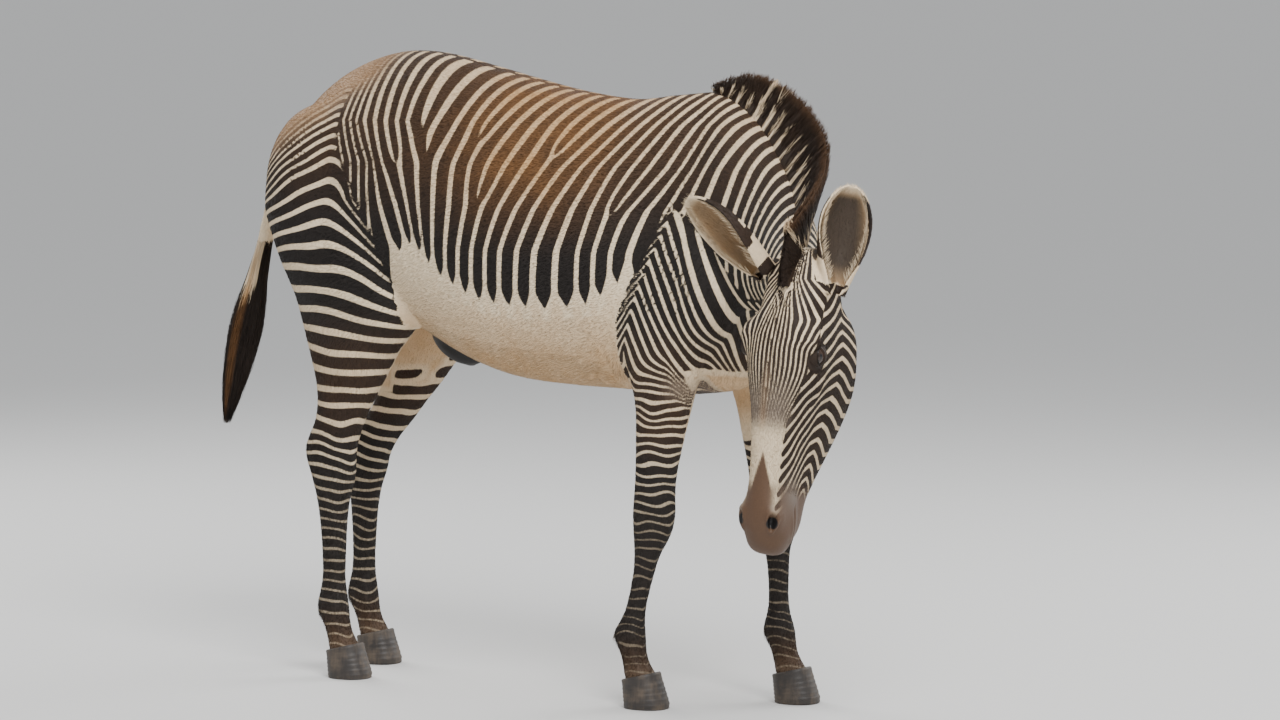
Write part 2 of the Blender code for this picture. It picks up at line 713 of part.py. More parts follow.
def main():
    """Build the zebra."""
    for leftover in list(bpy.data.objects):
        bpy.data.objects.remove(leftover)
    parts = collection_of(OBJECT_NAME)
    guides = collection_of(OBJECT_NAME + "_guides")

    form = body_form(guides)
    clearance = swollen(form, 1.5 * GAP, guides)
    pieces = name_pieces(part_form(form, guides), parts)

    for name, side in (("eye_right", -1), ("eye_left", 1)):
        make_eye(name, side, pieces["head"], parts, guides)
    right_axis = Vector((-0.416, 0.618, 0.667))
    right_opening = Vector((-0.80, 0.107, -0.60))
    left_axis = Vector((0.10, -0.15, 0.98))
    left_opening = Vector((-0.70, -0.71, 0.0))
    own = [
        make_ear("ear_right", head_point(-0.082, 0.010, 0.036), right_axis, right_opening, parts),
        make_ear("ear_left", head_point(0.080, -0.016, 0.064), left_axis, left_opening, parts),
        make_mane(parts),
        make_sheath(parts),
        make_tail(parts, guides)[0],
    ]
    for piece in own:
        cut(piece, clearance)
    for name, side, table, steps, joint, fetlock in legs():
        make_hoof(name + "_hoof", table, steps, side, parts)

    root = bpy.data.objects.new(OBJECT_NAME + "_frame", None)
    parts.objects.link(root)
    corners = [vert.co for piece in parts.objects if piece.data for vert in piece.data.vertices]
    low_x = min(point.x for point in corners)
    high_x = max(point.x for point in corners)
    low_y = min(point.y for point in corners)
    high_y = max(point.y for point in corners)
    root.location = (-(low_x + high_x) / 2, -(low_y + high_y) / 2, 0)
    for piece in parts.objects:
        if piece.data:
            piece.parent = root
            paint(piece)
    for guide in guides.objects:
        guide.hide_render = True
        guide.display_type = "WIRE"


main()
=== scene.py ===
"""Grevy's zebra stallion, life size and standing still: skin, markings, coat, mane, tail and studio.

The skin is one closed form. The coat over it is made of fine tufts that lie along the hair's own
direction, and every tuft takes its colour from the same markings as the skin under it.
Body measures are in metres from a point on the floor under the middle of the barrel: the animal
faces -Y there, its left is +X. BODY.origin moves them to the shared frame.
"""

import json
import logging
import math
from dataclasses import dataclass, field
from enum import Enum

import bmesh
import bpy
import numpy as np
from mathutils import Matrix, Vector

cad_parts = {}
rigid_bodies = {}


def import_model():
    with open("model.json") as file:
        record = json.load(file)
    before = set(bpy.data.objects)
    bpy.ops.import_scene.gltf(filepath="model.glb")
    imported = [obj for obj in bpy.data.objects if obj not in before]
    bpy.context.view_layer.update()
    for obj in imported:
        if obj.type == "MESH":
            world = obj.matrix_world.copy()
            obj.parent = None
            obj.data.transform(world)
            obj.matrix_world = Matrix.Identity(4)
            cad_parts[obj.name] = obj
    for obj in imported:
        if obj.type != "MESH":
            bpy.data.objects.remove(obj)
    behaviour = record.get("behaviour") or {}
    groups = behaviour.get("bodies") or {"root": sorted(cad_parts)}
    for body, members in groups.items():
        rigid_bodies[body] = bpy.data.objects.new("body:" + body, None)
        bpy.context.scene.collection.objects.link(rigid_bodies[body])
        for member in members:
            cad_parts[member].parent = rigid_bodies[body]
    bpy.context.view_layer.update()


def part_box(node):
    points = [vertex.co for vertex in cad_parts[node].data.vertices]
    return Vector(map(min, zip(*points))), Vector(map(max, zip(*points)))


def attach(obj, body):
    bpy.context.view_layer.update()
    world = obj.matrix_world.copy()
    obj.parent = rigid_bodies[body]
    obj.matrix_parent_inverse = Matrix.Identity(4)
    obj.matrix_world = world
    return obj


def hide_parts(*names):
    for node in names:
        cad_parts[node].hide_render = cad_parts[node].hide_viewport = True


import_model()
LOG = logging.getLogger("zebra")

Array = np.ndarray
Row = tuple[float, ...]


# ---------------------------------------------------------------- small maths
def ramp(value: Array, low: float, high: float) -> Array:
    """A smooth step from 0 at low to 1 at high; low may be the greater of the two."""
    t = np.clip((value - low) / (high - low), 0.0, 1.0)
    return t * t * (3.0 - 2.0 * t)


def bell(value: Array, middle: float, width: float) -> Array:
    """A hump of height 1 round middle."""
    return np.exp(-(((value - middle) / width) ** 2))


def knots(value: Array, *pairs: tuple[float, float]) -> Array:
    """Straight interpolation through (key, result) pairs in rising order of key."""
    keys = [pair[0] for pair in pairs]
    results = [pair[1] for pair in pairs]
    return np.interp(value, keys, results)


def blend(first: Array, second: Array, share: Array) -> Array:
    """The first where share is 0, the second where it is 1."""
    return first * (1 - share) + second * share


def nearest(points: Array, places: list[Array]) -> Array:
    """Distance from each point to the nearest of some places."""
    return np.min([np.linalg.norm(points - place, axis=1) for place in places], axis=0)


def rows_of(axes: tuple[Vector, ...]) -> Array:
    """Vectors as the rows of an array."""
    return np.array([tuple(axis) for axis in axes])


def unit(vectors: Array) -> Array:
    """Rows scaled to length one."""
    return vectors / np.maximum(np.linalg.norm(vectors, axis=1, keepdims=True), 1e-9)


def across(vectors: Array, normals: Array) -> Array:
    """Rows with their part along the normals taken out, scaled to length one."""
    flat = vectors - normals * np.sum(vectors * normals, axis=1, keepdims=True)
    return unit(flat)


def wander(points: Array, scale: float, seed: int) -> Array:
    """A smooth value between about -1 and 1 that drifts over the given distance.

    Args:
        points: N x 3 places.
        scale: distance over which the value changes, in metres.
        seed: picks one of many fields.

    Returns:
        N values.
    """
    rng = np.random.default_rng(seed)
    total = np.zeros(len(points))
    for _ in range(7):
        wave = rng.normal(size=3) * 2.2 / scale
        total += np.sin(points @ wave + rng.uniform(0, 2 * math.pi))
    return total / 3.2


def smooth_rows(rows: tuple[Row, ...], steps: int) -> list[Row]:
    """Rows between the given ones, on a Catmull-Rom curve through them."""
    result: list[Row] = []
    last = len(rows) - 1
    for i in range(last):
        four = (rows[max(i - 1, 0)], rows[i], rows[i + 1], rows[min(i + 2, last)])
        for k in range(steps):
            t = k / steps
            row = []
            for a, b, c, d in zip(*four):
                value = 2 * b + (c - a) * t + (2 * a - 5 * b + 4 * c - d) * t * t
                row.append((value + (3 * b - a - 3 * c + d) * t ** 3) / 2)
            result.append(tuple(row))
    result.append(tuple(rows[-1]))
    return result


def falling(table: tuple[Row, ...], key: Array) -> Array:
    """Straight interpolation in a table of (key, value) whose keys fall."""
    return np.interp(key, [row[0] for row in table][::-1], [row[1] for row in table][::-1])


# ---------------------------------------------------------------- measures of the body
@dataclass(frozen=True)
class Body:
    """Sections of the animal, as the solids have them."""

    # y, top, widest level, bottom, half width, squareness
    trunk: tuple[Row, ...] = (
        (-0.690, 1.110, 1.000, 0.880, 0.070, 2.0), (-0.655, 1.220, 1.020, 0.810, 0.130, 2.1),
        (-0.590, 1.370, 1.040, 0.770, 0.172, 2.1), (-0.500, 1.470, 1.050, 0.752, 0.198, 2.0),
        (-0.400, 1.472, 1.060, 0.746, 0.222, 2.0), (-0.280, 1.460, 1.070, 0.752, 0.252, 2.1),
        (-0.120, 1.476, 1.080, 0.756, 0.276, 2.2), (0.030, 1.506, 1.090, 0.768, 0.286, 2.2),
        (0.160, 1.536, 1.120, 0.806, 0.280, 2.2), (0.300, 1.566, 1.170, 0.870, 0.266, 2.1),
        (0.420, 1.565, 1.200, 0.930, 0.250, 2.0), (0.550, 1.520, 1.220, 0.990, 0.220, 2.0),
        (0.660, 1.436, 1.230, 1.040, 0.170, 2.0), (0.735, 1.335, 1.230, 1.110, 0.100, 2.0),
    )
    # crest x, y, z, heading to the right, pitch down, roll to the left (degrees), depth, half width
    neck: tuple[Row, ...] = (
        (0.000, -0.380, 1.455, 0, 0, 0, 0.640, 0.150), (0.000, -0.500, 1.482, 6, 10, 0, 0.620, 0.156),
        (-0.025, -0.610, 1.445, 14, 26, 6, 0.550, 0.144), (-0.076, -0.710, 1.376, 22, 38, 12, 0.465, 0.122),
        (-0.135, -0.802, 1.285, 33, 42, 16, 0.390, 0.104), (-0.225, -0.880, 1.205, 48, 41, 14, 0.325, 0.090),
        (-0.330, -0.940, 1.150, 63, 42, 8, 0.268, 0.080), (-0.400, -0.972, 1.120, 74, 54, 2, 0.215, 0.070),
    )
    # down from the poll, front, middle, back (forward is +), half width, squareness
    skull: tuple[Row, ...] = (
        (-0.035, 0.012, -0.020, -0.060, 0.038, 2.0), (-0.010, 0.030, -0.020, -0.085, 0.058, 2.0),
        (0.040, 0.052, -0.010, -0.115, 0.077, 2.0), (0.100, 0.078, 0.000, -0.130, 0.090, 2.1),
        (0.160, 0.096, 0.010, -0.130, 0.098, 2.2), (0.205, 0.101, 0.015, -0.125, 0.099, 2.2),
        (0.270, 0.101, 0.015, -0.105, 0.088, 2.2), (0.340, 0.098, 0.015, -0.085, 0.071, 2.2),
        (0.420, 0.094, 0.015, -0.065, 0.057, 2.2), (0.500, 0.091, 0.015, -0.050, 0.051, 2.2),
        (0.560, 0.091, 0.015, -0.048, 0.056, 2.2), (0.610, 0.084, 0.015, -0.044, 0.057, 2.2),
        (0.648, 0.068, 0.015, -0.040, 0.049, 2.1), (0.676, 0.040, 0.008, -0.024, 0.032, 2.0),
    )
    jaw: tuple[Row, ...] = (
        (0.085, -0.060, -0.105, -0.150, 0.042, 2.0), (0.150, -0.040, -0.105, -0.190, 0.068, 2.2),
        (0.225, -0.020, -0.110, -0.218, 0.080, 2.3), (0.300, -0.010, -0.105, -0.224, 0.078, 2.2),
        (0.375, 0.000, -0.085, -0.207, 0.066, 2.0), (0.455, 0.000, -0.062, -0.163, 0.051, 2.0),
        (0.540, 0.000, -0.042, -0.108, 0.041, 2.0), (0.600, 0.000, -0.040, -0.092, 0.040, 2.0),
        (0.636, 0.000, -0.036, -0.074, 0.033, 2.0), (0.654, -0.010, -0.035, -0.050, 0.017, 2.0),
    )
    # height, middle x, middle y, half width, half depth
    foreleg: tuple[Row, ...] = (
        (1.260, 0.105, -0.440, 0.070, 0.120), (1.120, 0.130, -0.480, 0.085, 0.165),
        (0.990, 0.148, -0.490, 0.088, 0.160), (0.890, 0.150, -0.462, 0.082, 0.125),
        (0.805, 0.148, -0.452, 0.069, 0.094), (0.730, 0.145, -0.447, 0.058, 0.075),
        (0.650, 0.142, -0.434, 0.050, 0.065), (0.570, 0.139, -0.422, 0.043, 0.057),
        (0.515, 0.137, -0.416, 0.045, 0.056), (0.465, 0.136, -0.414, 0.047, 0.057),
        (0.415, 0.135, -0.407, 0.041, 0.050), (0.370, 0.135, -0.394, 0.030, 0.037),
        (0.310, 0.135, -0.380, 0.026, 0.031), (0.235, 0.135, -0.360, 0.026, 0.030),
        (0.175, 0.135, -0.345, 0.037, 0.043), (0.120, 0.135, -0.358, 0.033, 0.035),
        (0.070, 0.135, -0.378, 0.041, 0.045), (0.030, 0.135, -0.392, 0.038, 0.042),
    )
    hindleg: tuple[Row, ...] = (
        (1.380, 0.105, 0.480, 0.080, 0.150), (1.220, 0.130, 0.520, 0.115, 0.215),
        (1.080, 0.145, 0.485, 0.122, 0.205), (0.960, 0.150, 0.455, 0.108, 0.172),
        (0.867, 0.150, 0.455, 0.090, 0.146), (0.795, 0.147, 0.468, 0.076, 0.116),
        (0.724, 0.142, 0.486, 0.062, 0.088), (0.650, 0.137, 0.514, 0.050, 0.072),
        (0.575, 0.132, 0.548, 0.046, 0.077), (0.505, 0.129, 0.542, 0.045, 0.065),
        (0.440, 0.127, 0.545, 0.036, 0.047), (0.340, 0.125, 0.545, 0.028, 0.038),
        (0.240, 0.125, 0.546, 0.028, 0.036), (0.175, 0.125, 0.549, 0.038, 0.046),
        (0.120, 0.125, 0.532, 0.034, 0.036), (0.070, 0.125, 0.512, 0.041, 0.045),
        (0.030, 0.125, 0.498, 0.038, 0.042),
    )
    # height, and how far back (+) or forward (-) of the right leg the left one stands
    fore_step: tuple[Row, ...] = ((1.30, 0.0), (1.00, -0.030), (0.80, -0.080), (0.46, -0.175),
                                  (0.17, -0.258), (0.0, -0.262))
    hind_step: tuple[Row, ...] = ((1.30, 0.0), (0.85, -0.005), (0.72, 0.012), (0.63, 0.034), (0.53, 0.086),
                                  (0.17, 0.090), (0.0, 0.085))
    # along the tail: x, y, z, half width
    tail: tuple[Row, ...] = (
        (0.000, 0.640, 1.385, 0.036), (0.000, 0.715, 1.345, 0.036), (-0.002, 0.774, 1.270, 0.033),
        (-0.010, 0.812, 1.170, 0.030), (-0.022, 0.836, 1.070, 0.027), (-0.031, 0.852, 0.990, 0.026),
        (-0.040, 0.864, 0.930, 0.037), (-0.052, 0.876, 0.850, 0.044), (-0.064, 0.888, 0.770, 0.036),
        (-0.077, 0.900, 0.690, 0.023), (-0.088, 0.910, 0.615, 0.004),
    )
    poll: tuple[float, float, float] = (-0.417, -0.993, 1.112)
    face_turn: float = math.radians(92)
    face_tip: float = math.radians(4)
    face_lean: float = math.radians(4.6)
    eye_place: tuple[float, float, float] = (0.0860, 0.036, 0.203)
    eye_radius: float = 0.0245
    # where the left eye looks, and the long axis of an eye's opening, in the head's measures
    gaze: tuple[float, float, float] = (0.90, 0.42, 0.04)
    eye_slant: tuple[float, float, float] = (0.0, -0.22, 0.97)
    hoof_height: float = 0.078
    coronet_tilt: float = math.radians(14)

    def head_axes(self) -> tuple[Vector, Vector, Vector]:
        """The head's own left, front and down."""
        front = Vector((-math.sin(self.face_turn), -math.cos(self.face_turn), 0))
        left = Vector((-front.y, front.x, 0))
        down = Vector((0, 0, -1)) + front * math.tan(self.face_tip) - left * math.tan(self.face_lean)
        down.normalize()
        left = (left - down * left.dot(down)).normalized()
        return left, down.cross(left), down

    def head_point(self, lateral: float, forward: float, down: float) -> Vector:
        """A point given in the head's own measures."""
        left_axis, front_axis, down_axis = self.head_axes()
        return Vector(self.poll) + left_axis * lateral + front_axis * forward + down_axis * down

    def head_local(self, points: Array) -> Array:
        """Lateral, forward and down measures of N points."""
        return (points - np.array(self.poll)) @ rows_of(self.head_axes()).T

    def head_spot(self, lateral: float, forward: float, down: float) -> Array:
        """A point given in the head's own measures, as an array."""
        return np.array(tuple(self.head_point(lateral, forward, down)))

    def eyes(self) -> list[Array]:
        """The middles of the left and the right eyeball."""
        return [self.head_spot(side * self.eye_place[0], *self.eye_place[1:]) for side in (1, -1)]

    def origin(self) -> Vector:
        """Where the body's own zero stands in the shared frame."""
        low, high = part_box("eye_left")
        return (low + high) / 2 - self.head_point(*self.eye_place)

    def neck_frames(self) -> list[tuple[Vector, Vector, Vector, Vector, float, float]]:
        """Crest point, direction, side, upper normal, depth and half width down the neck."""
        frames = []
        for x, y, z, heading, pitch, roll, depth, half in smooth_rows(self.neck, 4):
            h = math.radians(heading)
            p = math.radians(pitch)
            ahead = Vector((-math.sin(h), -math.cos(h), 0)) * math.cos(p) - Vector((0, 0, 1)) * math.sin(p)
            turn = Matrix.Rotation(math.radians(-roll), 3, ahead)
            side = turn @ Vector((math.cos(h), -math.sin(h), 0))
            frames.append((Vector((x, y, z)), ahead, side, ahead.cross(side), depth, half))
        return frames

    def leg_rows(self, fore: bool, left: bool) -> list[Row]:
        """Leg sections with the stance of the leg in question."""
        table = self.foreleg if fore else self.hindleg
        steps = self.fore_step if fore else self.hind_step
        rows = []
        for z, x, y, half, deep in smooth_rows(table, 3):
            shift = float(falling(steps, np.array(z))) if left else 0.0
            rows.append((z, x if left else -x, y + shift, half, deep))
        return rows

    def leg_centre(self, fore: bool, left: bool, height: float) -> Vector:
        """The middle of a leg at some height."""
        rows = self.leg_rows(fore, left)[::-1]
        heights = [row[0] for row in rows]
        return Vector((float(np.interp(height, heights, [row[1] for row in rows])),
                       float(np.interp(height, heights, [row[2] for row in rows])), height))


BODY = Body()


# ---------------------------------------------------------------- markings
@dataclass
class Paint:
    """What colours a place: N values of each.

    white is how far inside a pale stripe the place lies, in metres, below zero in the dark.
    The other four, in their order, run from 0 to 1: a warm dusting, which also carries painted shade as tan
    under the belly and between the legs;
    a darkening, which grows towards the hooves and down the face, is painted shade in the ear cups and
    nostril holes, and is the sheath's own black skin;
    hairless skin; and stripes that fade into one middle tone.
    """

    white: Array
    rust_and_shade: Array
    grey: Array
    bare: Array
    haze: Array


@dataclass(frozen=True)
class Markings:
    """Stripes of the body as counts that rise by one from each pale stripe to the next."""

    reach: float = 0.02              # white is cut off at this distance
    probe: float = 0.004             # step for slopes
    flank_levels: Row = (1.00, 1.10, 1.20, 1.30, 1.40, 1.50)
    # count, and where that stripe stands along the barrel at each level
    flank: tuple[Row, ...] = (
        (-20, -0.84, -0.84, -0.82, -0.82, -0.82, -0.84), (-16, -0.60, -0.60, -0.60, -0.62, -0.645, -0.69),
        (-12, -0.38, -0.382, -0.407, -0.47, -0.505, -0.575),
        (-9, -0.26, -0.262, -0.285, -0.325, -0.392, -0.47),
        (-7, -0.145, -0.152, -0.187, -0.237, -0.302, -0.385),
        (-5, -0.057, -0.062, -0.095, -0.142, -0.18, -0.24),
        (-2, 0.060, 0.055, 0.038, 0.033, 0.000, -0.05), (0, 0.130, 0.133, 0.133, 0.135, 0.115, 0.090),
        (1, 0.165, 0.163, 0.178, 0.190, 0.243, 0.223), (3, 0.220, 0.213, 0.248, 0.295, 0.325, 0.323),
        (4, 0.250, 0.263, 0.300, 0.325, 0.363, 0.360), (5, 0.320, 0.333, 0.340, 0.345, 0.398, 0.390),
        (8, 0.400, 0.420, 0.420, 0.425, 0.468, 0.45), (11, 0.480, 0.500, 0.500, 0.500, 0.53, 0.50),
    )
    # y, z and lean of the places where one more stripe starts on its way up
    forks: tuple[Row, ...] = ((0.172, 1.327, -10), (0.200, 1.380, -12), (0.035, 1.360, -15),
                              (0.008, 1.215, -22), (-0.175, 1.325, -30), (-0.347, 1.190, -28),
                              (0.260, 1.300, 12))
    # y, and the height under which the belly is plain
    belly: tuple[Row, ...] = ((-0.475, 0.50), (-0.45, 1.00), (-0.39, 1.03), (-0.30, 0.96), (-0.20, 0.945),
                              (-0.10, 0.945), (0.00, 0.955), (0.10, 1.00), (0.20, 1.08), (0.26, 1.06),
                              (0.30, 0.98), (0.34, 0.80))
    # height, and the y where the haunch's arcs start
    haunch_edge: tuple[Row, ...] = ((0.80, 0.27), (0.93, 0.285), (1.00, 0.290), (1.05, 0.305), (1.10, 0.325),
                                    (1.15, 0.348), (1.20, 0.375), (1.24, 0.400), (1.30, 0.440), (1.35, 0.465),
                                    (1.42, 0.470), (1.56, 0.440))
    # height and count of the pale arcs over the haunch, then of the rings down the leg
    hind_rings: tuple[Row, ...] = ((-0.10, 41.5), (0.10, 33), (0.42, 20.6), (0.52, 17), (0.605, 14),
                                   (0.725, 11), (0.878, 8), (0.978, 6), (1.095, 4), (1.303, 0), (1.388, -3),
                                   (1.455, -6), (1.56, -11))

    # height, and how far the arcs drop behind the haunch and in front of it
    haunch_rear: tuple[Row, ...] = ((0.80, -0.02), (0.95, -0.01), (1.04, 0.004), (1.13, 0.032), (1.20, 0.054),
                                    (1.30, 0.074), (1.40, 0.080))
    haunch_front: tuple[Row, ...] = ((0.75, 0.0), (0.80, 0.01), (0.90, 0.045), (1.00, 0.085), (1.10, 0.125),
                                     (1.20, 0.14), (1.30, 0.08), (1.40, 0.03))
    # height, and the pale share of each period on the haunch and hind leg, then on the shoulder and foreleg
    haunch_share: tuple[Row, ...] = ((0.12, 0.20), (0.40, 0.24), (0.50, 0.28), (0.60, 0.33), (0.80, 0.34),
                                     (1.25, 0.31), (1.40, 0.44), (1.50, 0.60))
    shoulder_share: tuple[Row, ...] = ((0.10, 0.18), (0.40, 0.20), (0.55, 0.27), (0.75, 0.35), (1.20, 0.35))
    # height, and half the width of the plain strip beside the tail
    rump_strip: tuple[Row, ...] = ((0.85, 0.100), (1.05, 0.078), (1.20, 0.056))
    # height and y of the seam behind the shoulder, then y and height of the line over it
    shoulder_seam: tuple[Row, ...] = ((0.70, -0.31), (0.95, -0.355), (1.00, -0.385), (1.22, -0.497))
    shoulder_top: tuple[Row, ...] = ((-0.70, 1.00), (-0.62, 1.12), (-0.497, 1.215), (-0.30, 1.215))
    # height of a roof over the shoulder and its count; the rings of the foreleg and their spacing
    roofs: tuple[Row, ...] = ((0.50, 20.4), (0.95, 7.4), (1.172, 0), (1.20, -0.8), (1.32, -2.8), (1.60, -8.0),
                              (1.90, -12.0))
    fore_rings_from: tuple[float, float] = (0.80, 10.2)     # a height and the count there
    fore_ring_step: float = 0.0235
    # section of the neck, and how far the stripes sweep forward on their way down, then the count
    neck_sweep: tuple[Row, ...] = ((4, 0.2), (6, 0.7), (8, 1.0), (10, 1.5), (12, 2.2), (14, 2.7), (20, 3.0))
    neck_bands: tuple[Row, ...] = ((-4, -8), (3.2, -1), (4.4, 0), (5.2, 1), (6.4, 2), (11.0, 5), (14.8, 8),
                                   (19.6, 12), (28, 19))
    # the barrel's stripes pass into the neck's between these two y; height and shift of the count there
    neck_starts: float = -0.46
    neck_alone: float = -0.70
    neck_meets: tuple[Row, ...] = ((1.1, 0.5), (1.2, 0.35), (1.3, 0.25), (1.4, 0.75), (1.46, 1.6))
    # fan over the forehead and its count; the step of the same fan down the nose
    brow_bands: tuple[Row, ...] = ((0, 0), (0.10, 2), (0.21, 4), (0.344, 5), (0.445, 6), (0.60, 7), (0.84, 8),
                                   (1.2, 9), (3, 13))
    nose_step: float = 0.0425
    # angle round the head, and how far down the cheek's bands bend there
    cheek_bend: tuple[Row, ...] = ((25, 0.110), (35, 0.085), (50, 0.045), (60, 0.025), (80, 0.0),
                                   (100, -0.022), (118, -0.033), (130, -0.02), (150, 0.01))
    cheek_step: float = 0.031
    # distance down the head, and the angle where the forehead's stripes meet the cheek's
    face_edge: tuple[Row, ...] = ((-0.05, 95), (0.0, 80), (0.10, 62), (0.17, 50), (0.25, 43), (0.36, 27),
                                  (0.50, 20))
    degree: float = 0.0016           # one degree round the head, as a distance
    plain: float = 0.012             # depth given to plain pale places on the head

    def stripes(self, count, points: Array, normals: Array, share: Array) -> Array:
        """Depth inside the pale stripes of a count.

        Args:
            count: function from N x 3 points to N counts.
            points: N x 3 places.
            normals: N x 3 skin normals.
            share: how much of each period is pale.

        Returns:
            N distances, above zero inside a pale stripe.
        """
        here = count(points)
        slope = np.zeros_like(points)
        for axis in range(3):
            step = np.zeros(3)
            step[axis] = self.probe
            change = count(points + step) - here
            slope[:, axis] = (change - np.round(change)) / self.probe
        slope -= normals * np.sum(slope * normals, axis=1, keepdims=True)
        period = 1.0 / np.clip(np.linalg.norm(slope, axis=1), 6.0, 160.0)
        off = np.abs(here - np.round(here))
        return (share / 2 - off) * period

    def flank_count(self, points: Array) -> Array:
        """Count along the barrel, with the forks that add stripes towards the back."""
        y, z = points[:, 1], points[:, 2]
        places = np.stack([np.interp(z, self.flank_levels, row[1:]) for row in self.flank], axis=1)
        counts = np.array([row[0] for row in self.flank], float)
        slot = np.clip((places < y[:, None]).sum(axis=1), 1, len(counts) - 1)
        rows = np.arange(len(y))
        low, high = places[rows, slot - 1], places[rows, slot]
        t = (y - low) / np.maximum(high - low, 1e-4)
        total = counts[slot - 1] + np.clip(t, -1, 2) * (counts[slot] - counts[slot - 1])
        for fork_y, fork_z, lean in self.forks:
            c, s = math.cos(math.radians(lean)), math.sin(math.radians(lean))
            sideways = (y - fork_y) * c - (z - fork_z) * s
            upwards = (y - fork_y) * s + (z - fork_z) * c
            angle = np.arctan2(sideways, upwards) / math.pi
            total -= np.sign(angle) * 0.5 * (1 - np.abs(angle)) ** 3
        return total

    def haunch_count(self, points: Array) -> Array:
        """Count down the haunch and the hind leg: arcs above, rings below."""
        y, z = points[:, 1], points[:, 2]
        edge = knots(z, *self.haunch_edge)
        behind = np.clip((y - 0.48) / 0.12, 0, 2.2) ** 1.3
        ahead = np.clip((0.48 - y) / np.maximum(0.48 - edge, 0.10), 0, 1.3) ** 2.1
        height = z + knots(z, *self.haunch_rear) * behind + knots(z, *self.haunch_front) * ahead
        height += 0.45 * np.clip(0.16 - np.abs(points[:, 0]), 0, 0.16) * ramp(z, 1.28, 1.42)
        height += (0.006 * wander(points, 0.11, 11) * ramp(z, 1.40, 1.25)
                   + 0.007 * wander(points, 0.045, 12) * ramp(z, 0.80, 0.55))
        return knots(height, *self.hind_rings)

    def shoulder_count(self, points: Array) -> Array:
        """Count down the shoulder's nested roofs, then down the rings of the foreleg."""
        z = points[:, 2]
        y = points[:, 1] - np.clip(0.14 - np.abs(points[:, 0]), 0, 0.14) * ramp(points[:, 1], -0.56, -0.68)
        behind = (z + 1.07 * y + 0.0188) / 0.572
        steep = np.where(y > -0.53, 1.9 * y, -1.007 + 2.6 * (y + 0.53))
        ahead = (z - steep - 0.0334) / 1.76
        roof = np.maximum(behind, ahead) + 0.004 * wander(points, 0.09, 21)
        roofs = knots(roof, *self.roofs)
        dip = 0.012 * bell(y, -0.46, 0.05) * ramp(z, 0.68, 0.76)
        level, rings = self.fore_rings_from
        drop = level - (z + dip) + 0.006 * wander(points, 0.055, 22)
        drop = drop + 0.35 * np.abs(points[:, 0] + 0.14) * ramp(z, 0.5, 0.35)
        low = ramp(z + 0.09 * ramp(y, -0.49, -0.55), 0.88, 0.76)
        return blend(roofs, rings + drop / self.fore_ring_step, low)

    def neck_place(self, points: Array) -> tuple[Array, Array, Array]:
        """Where points lie along the neck, above its crest and beside its middle plane."""
        frames = BODY.neck_frames()
        crest, ahead, side, up = (np.array([tuple(f[k]) for f in frames]) for k in range(4))
        depth = np.array([f[4] for f in frames])
        offset = points[:, None, :] - crest[None]
        past = np.einsum("nij,ij->ni", offset, ahead)
        rise = np.einsum("nij,ij->ni", offset, up)
        beside = np.einsum("nij,ij->ni", offset, side)
        beyond = rise - np.clip(rise, -depth, 0.2)
        away = np.sqrt(past ** 2 + beyond ** 2 + (0.5 * beside) ** 2)
        weights = np.exp(-(away - away.min(axis=1, keepdims=True)) / 0.008)
        weights /= weights.sum(axis=1, keepdims=True)
        steps = np.arange(len(frames))
        soft = (weights * steps).sum(axis=1)
        height = (weights * rise).sum(axis=1)
        last = np.clip((past >= 0).sum(axis=1), 1, len(frames) - 1)
        rows = np.arange(len(points))
        before, after = past[rows, last - 1], past[rows, last]
        sharp = last - 1 + np.clip(before / np.maximum(before - after, 1e-5), -1, 2)
        share = ramp(height, -0.36, -0.22) * ramp(np.abs(sharp - soft), 2.5, 1.0)
        return soft + (sharp - soft) * share, height, (weights * beside).sum(axis=1)

    def neck_count(self, points: Array) -> Array:
        """Count along the neck; the stripes sweep forward on their way down."""
        t, height, beside = self.neck_place(points)
        fall = np.clip(-height / 0.1, 0, 2.4) ** 1.15
        start = t.copy()
        for _ in range(8):
            start = 0.5 * start + 0.5 * (t - knots(start, *self.neck_sweep) * fall)
        start += 0.12 * wander(points, 0.16, 31)
        # the two sides differ by a whole number, which doesn't show in the stripes
        return knots(start, *self.neck_bands) + 4.0 * (beside > 0)

    def face_place(self, points: Array) -> tuple[Array, Array, Array]:
        """Angle round the head from its front in degrees, distance down it, and distance from its line."""
        local = BODY.head_local(points)
        angle = np.degrees(np.arctan2(local[:, 0], local[:, 1] + 0.03))
        return angle, local[:, 2], np.hypot(local[:, 0], local[:, 1] + 0.03)

    def front_count(self, points: Array) -> Array:
        """Count outwards over the forehead and down the nose."""
        angle, down, _ = self.face_place(points)
        wide = np.clip(down + 0.02, 0.055, 0.19) * (1 - 0.5 * ramp(down, 0.22, 0.38))
        fan = np.abs(angle) * self.degree / wide + 0.012 * wander(points, 0.05, 41)
        return blend(knots(fan, *self.brow_bands), fan / self.nose_step, ramp(down, 0.12, 0.20))

    def cheek_count(self, points: Array) -> Array:
        """Count down the cheek, in bands that break over the jaw."""
        angle, down, _ = self.face_place(points)
        bend = knots(np.abs(angle), *self.cheek_bend)
        return (down - bend + 0.004 * wander(points, 0.06, 51) - 0.275) / self.cheek_step

    def own_side(self, points: Array, normals: Array) -> tuple[Array, Array]:
        """Points and normals as they would stand on the right side in the right legs' stance."""
        placed, turned = points.copy(), normals.copy()
        left = points[:, 0] > 0
        y, z = points[:, 1], points[:, 2]
        fore = falling(BODY.fore_step, z) * ramp(y, -0.28, -0.38)
        hind = falling(BODY.hind_step, z) * ramp(y, 0.22, 0.34)
        placed[:, 1] -= (fore + hind) * ramp(points[:, 0], 0.0, 0.09)
        placed[:, 0] = -np.abs(points[:, 0])
        turned[:, 0] = np.where(left, -normals[:, 0], normals[:, 0])
        return placed, turned

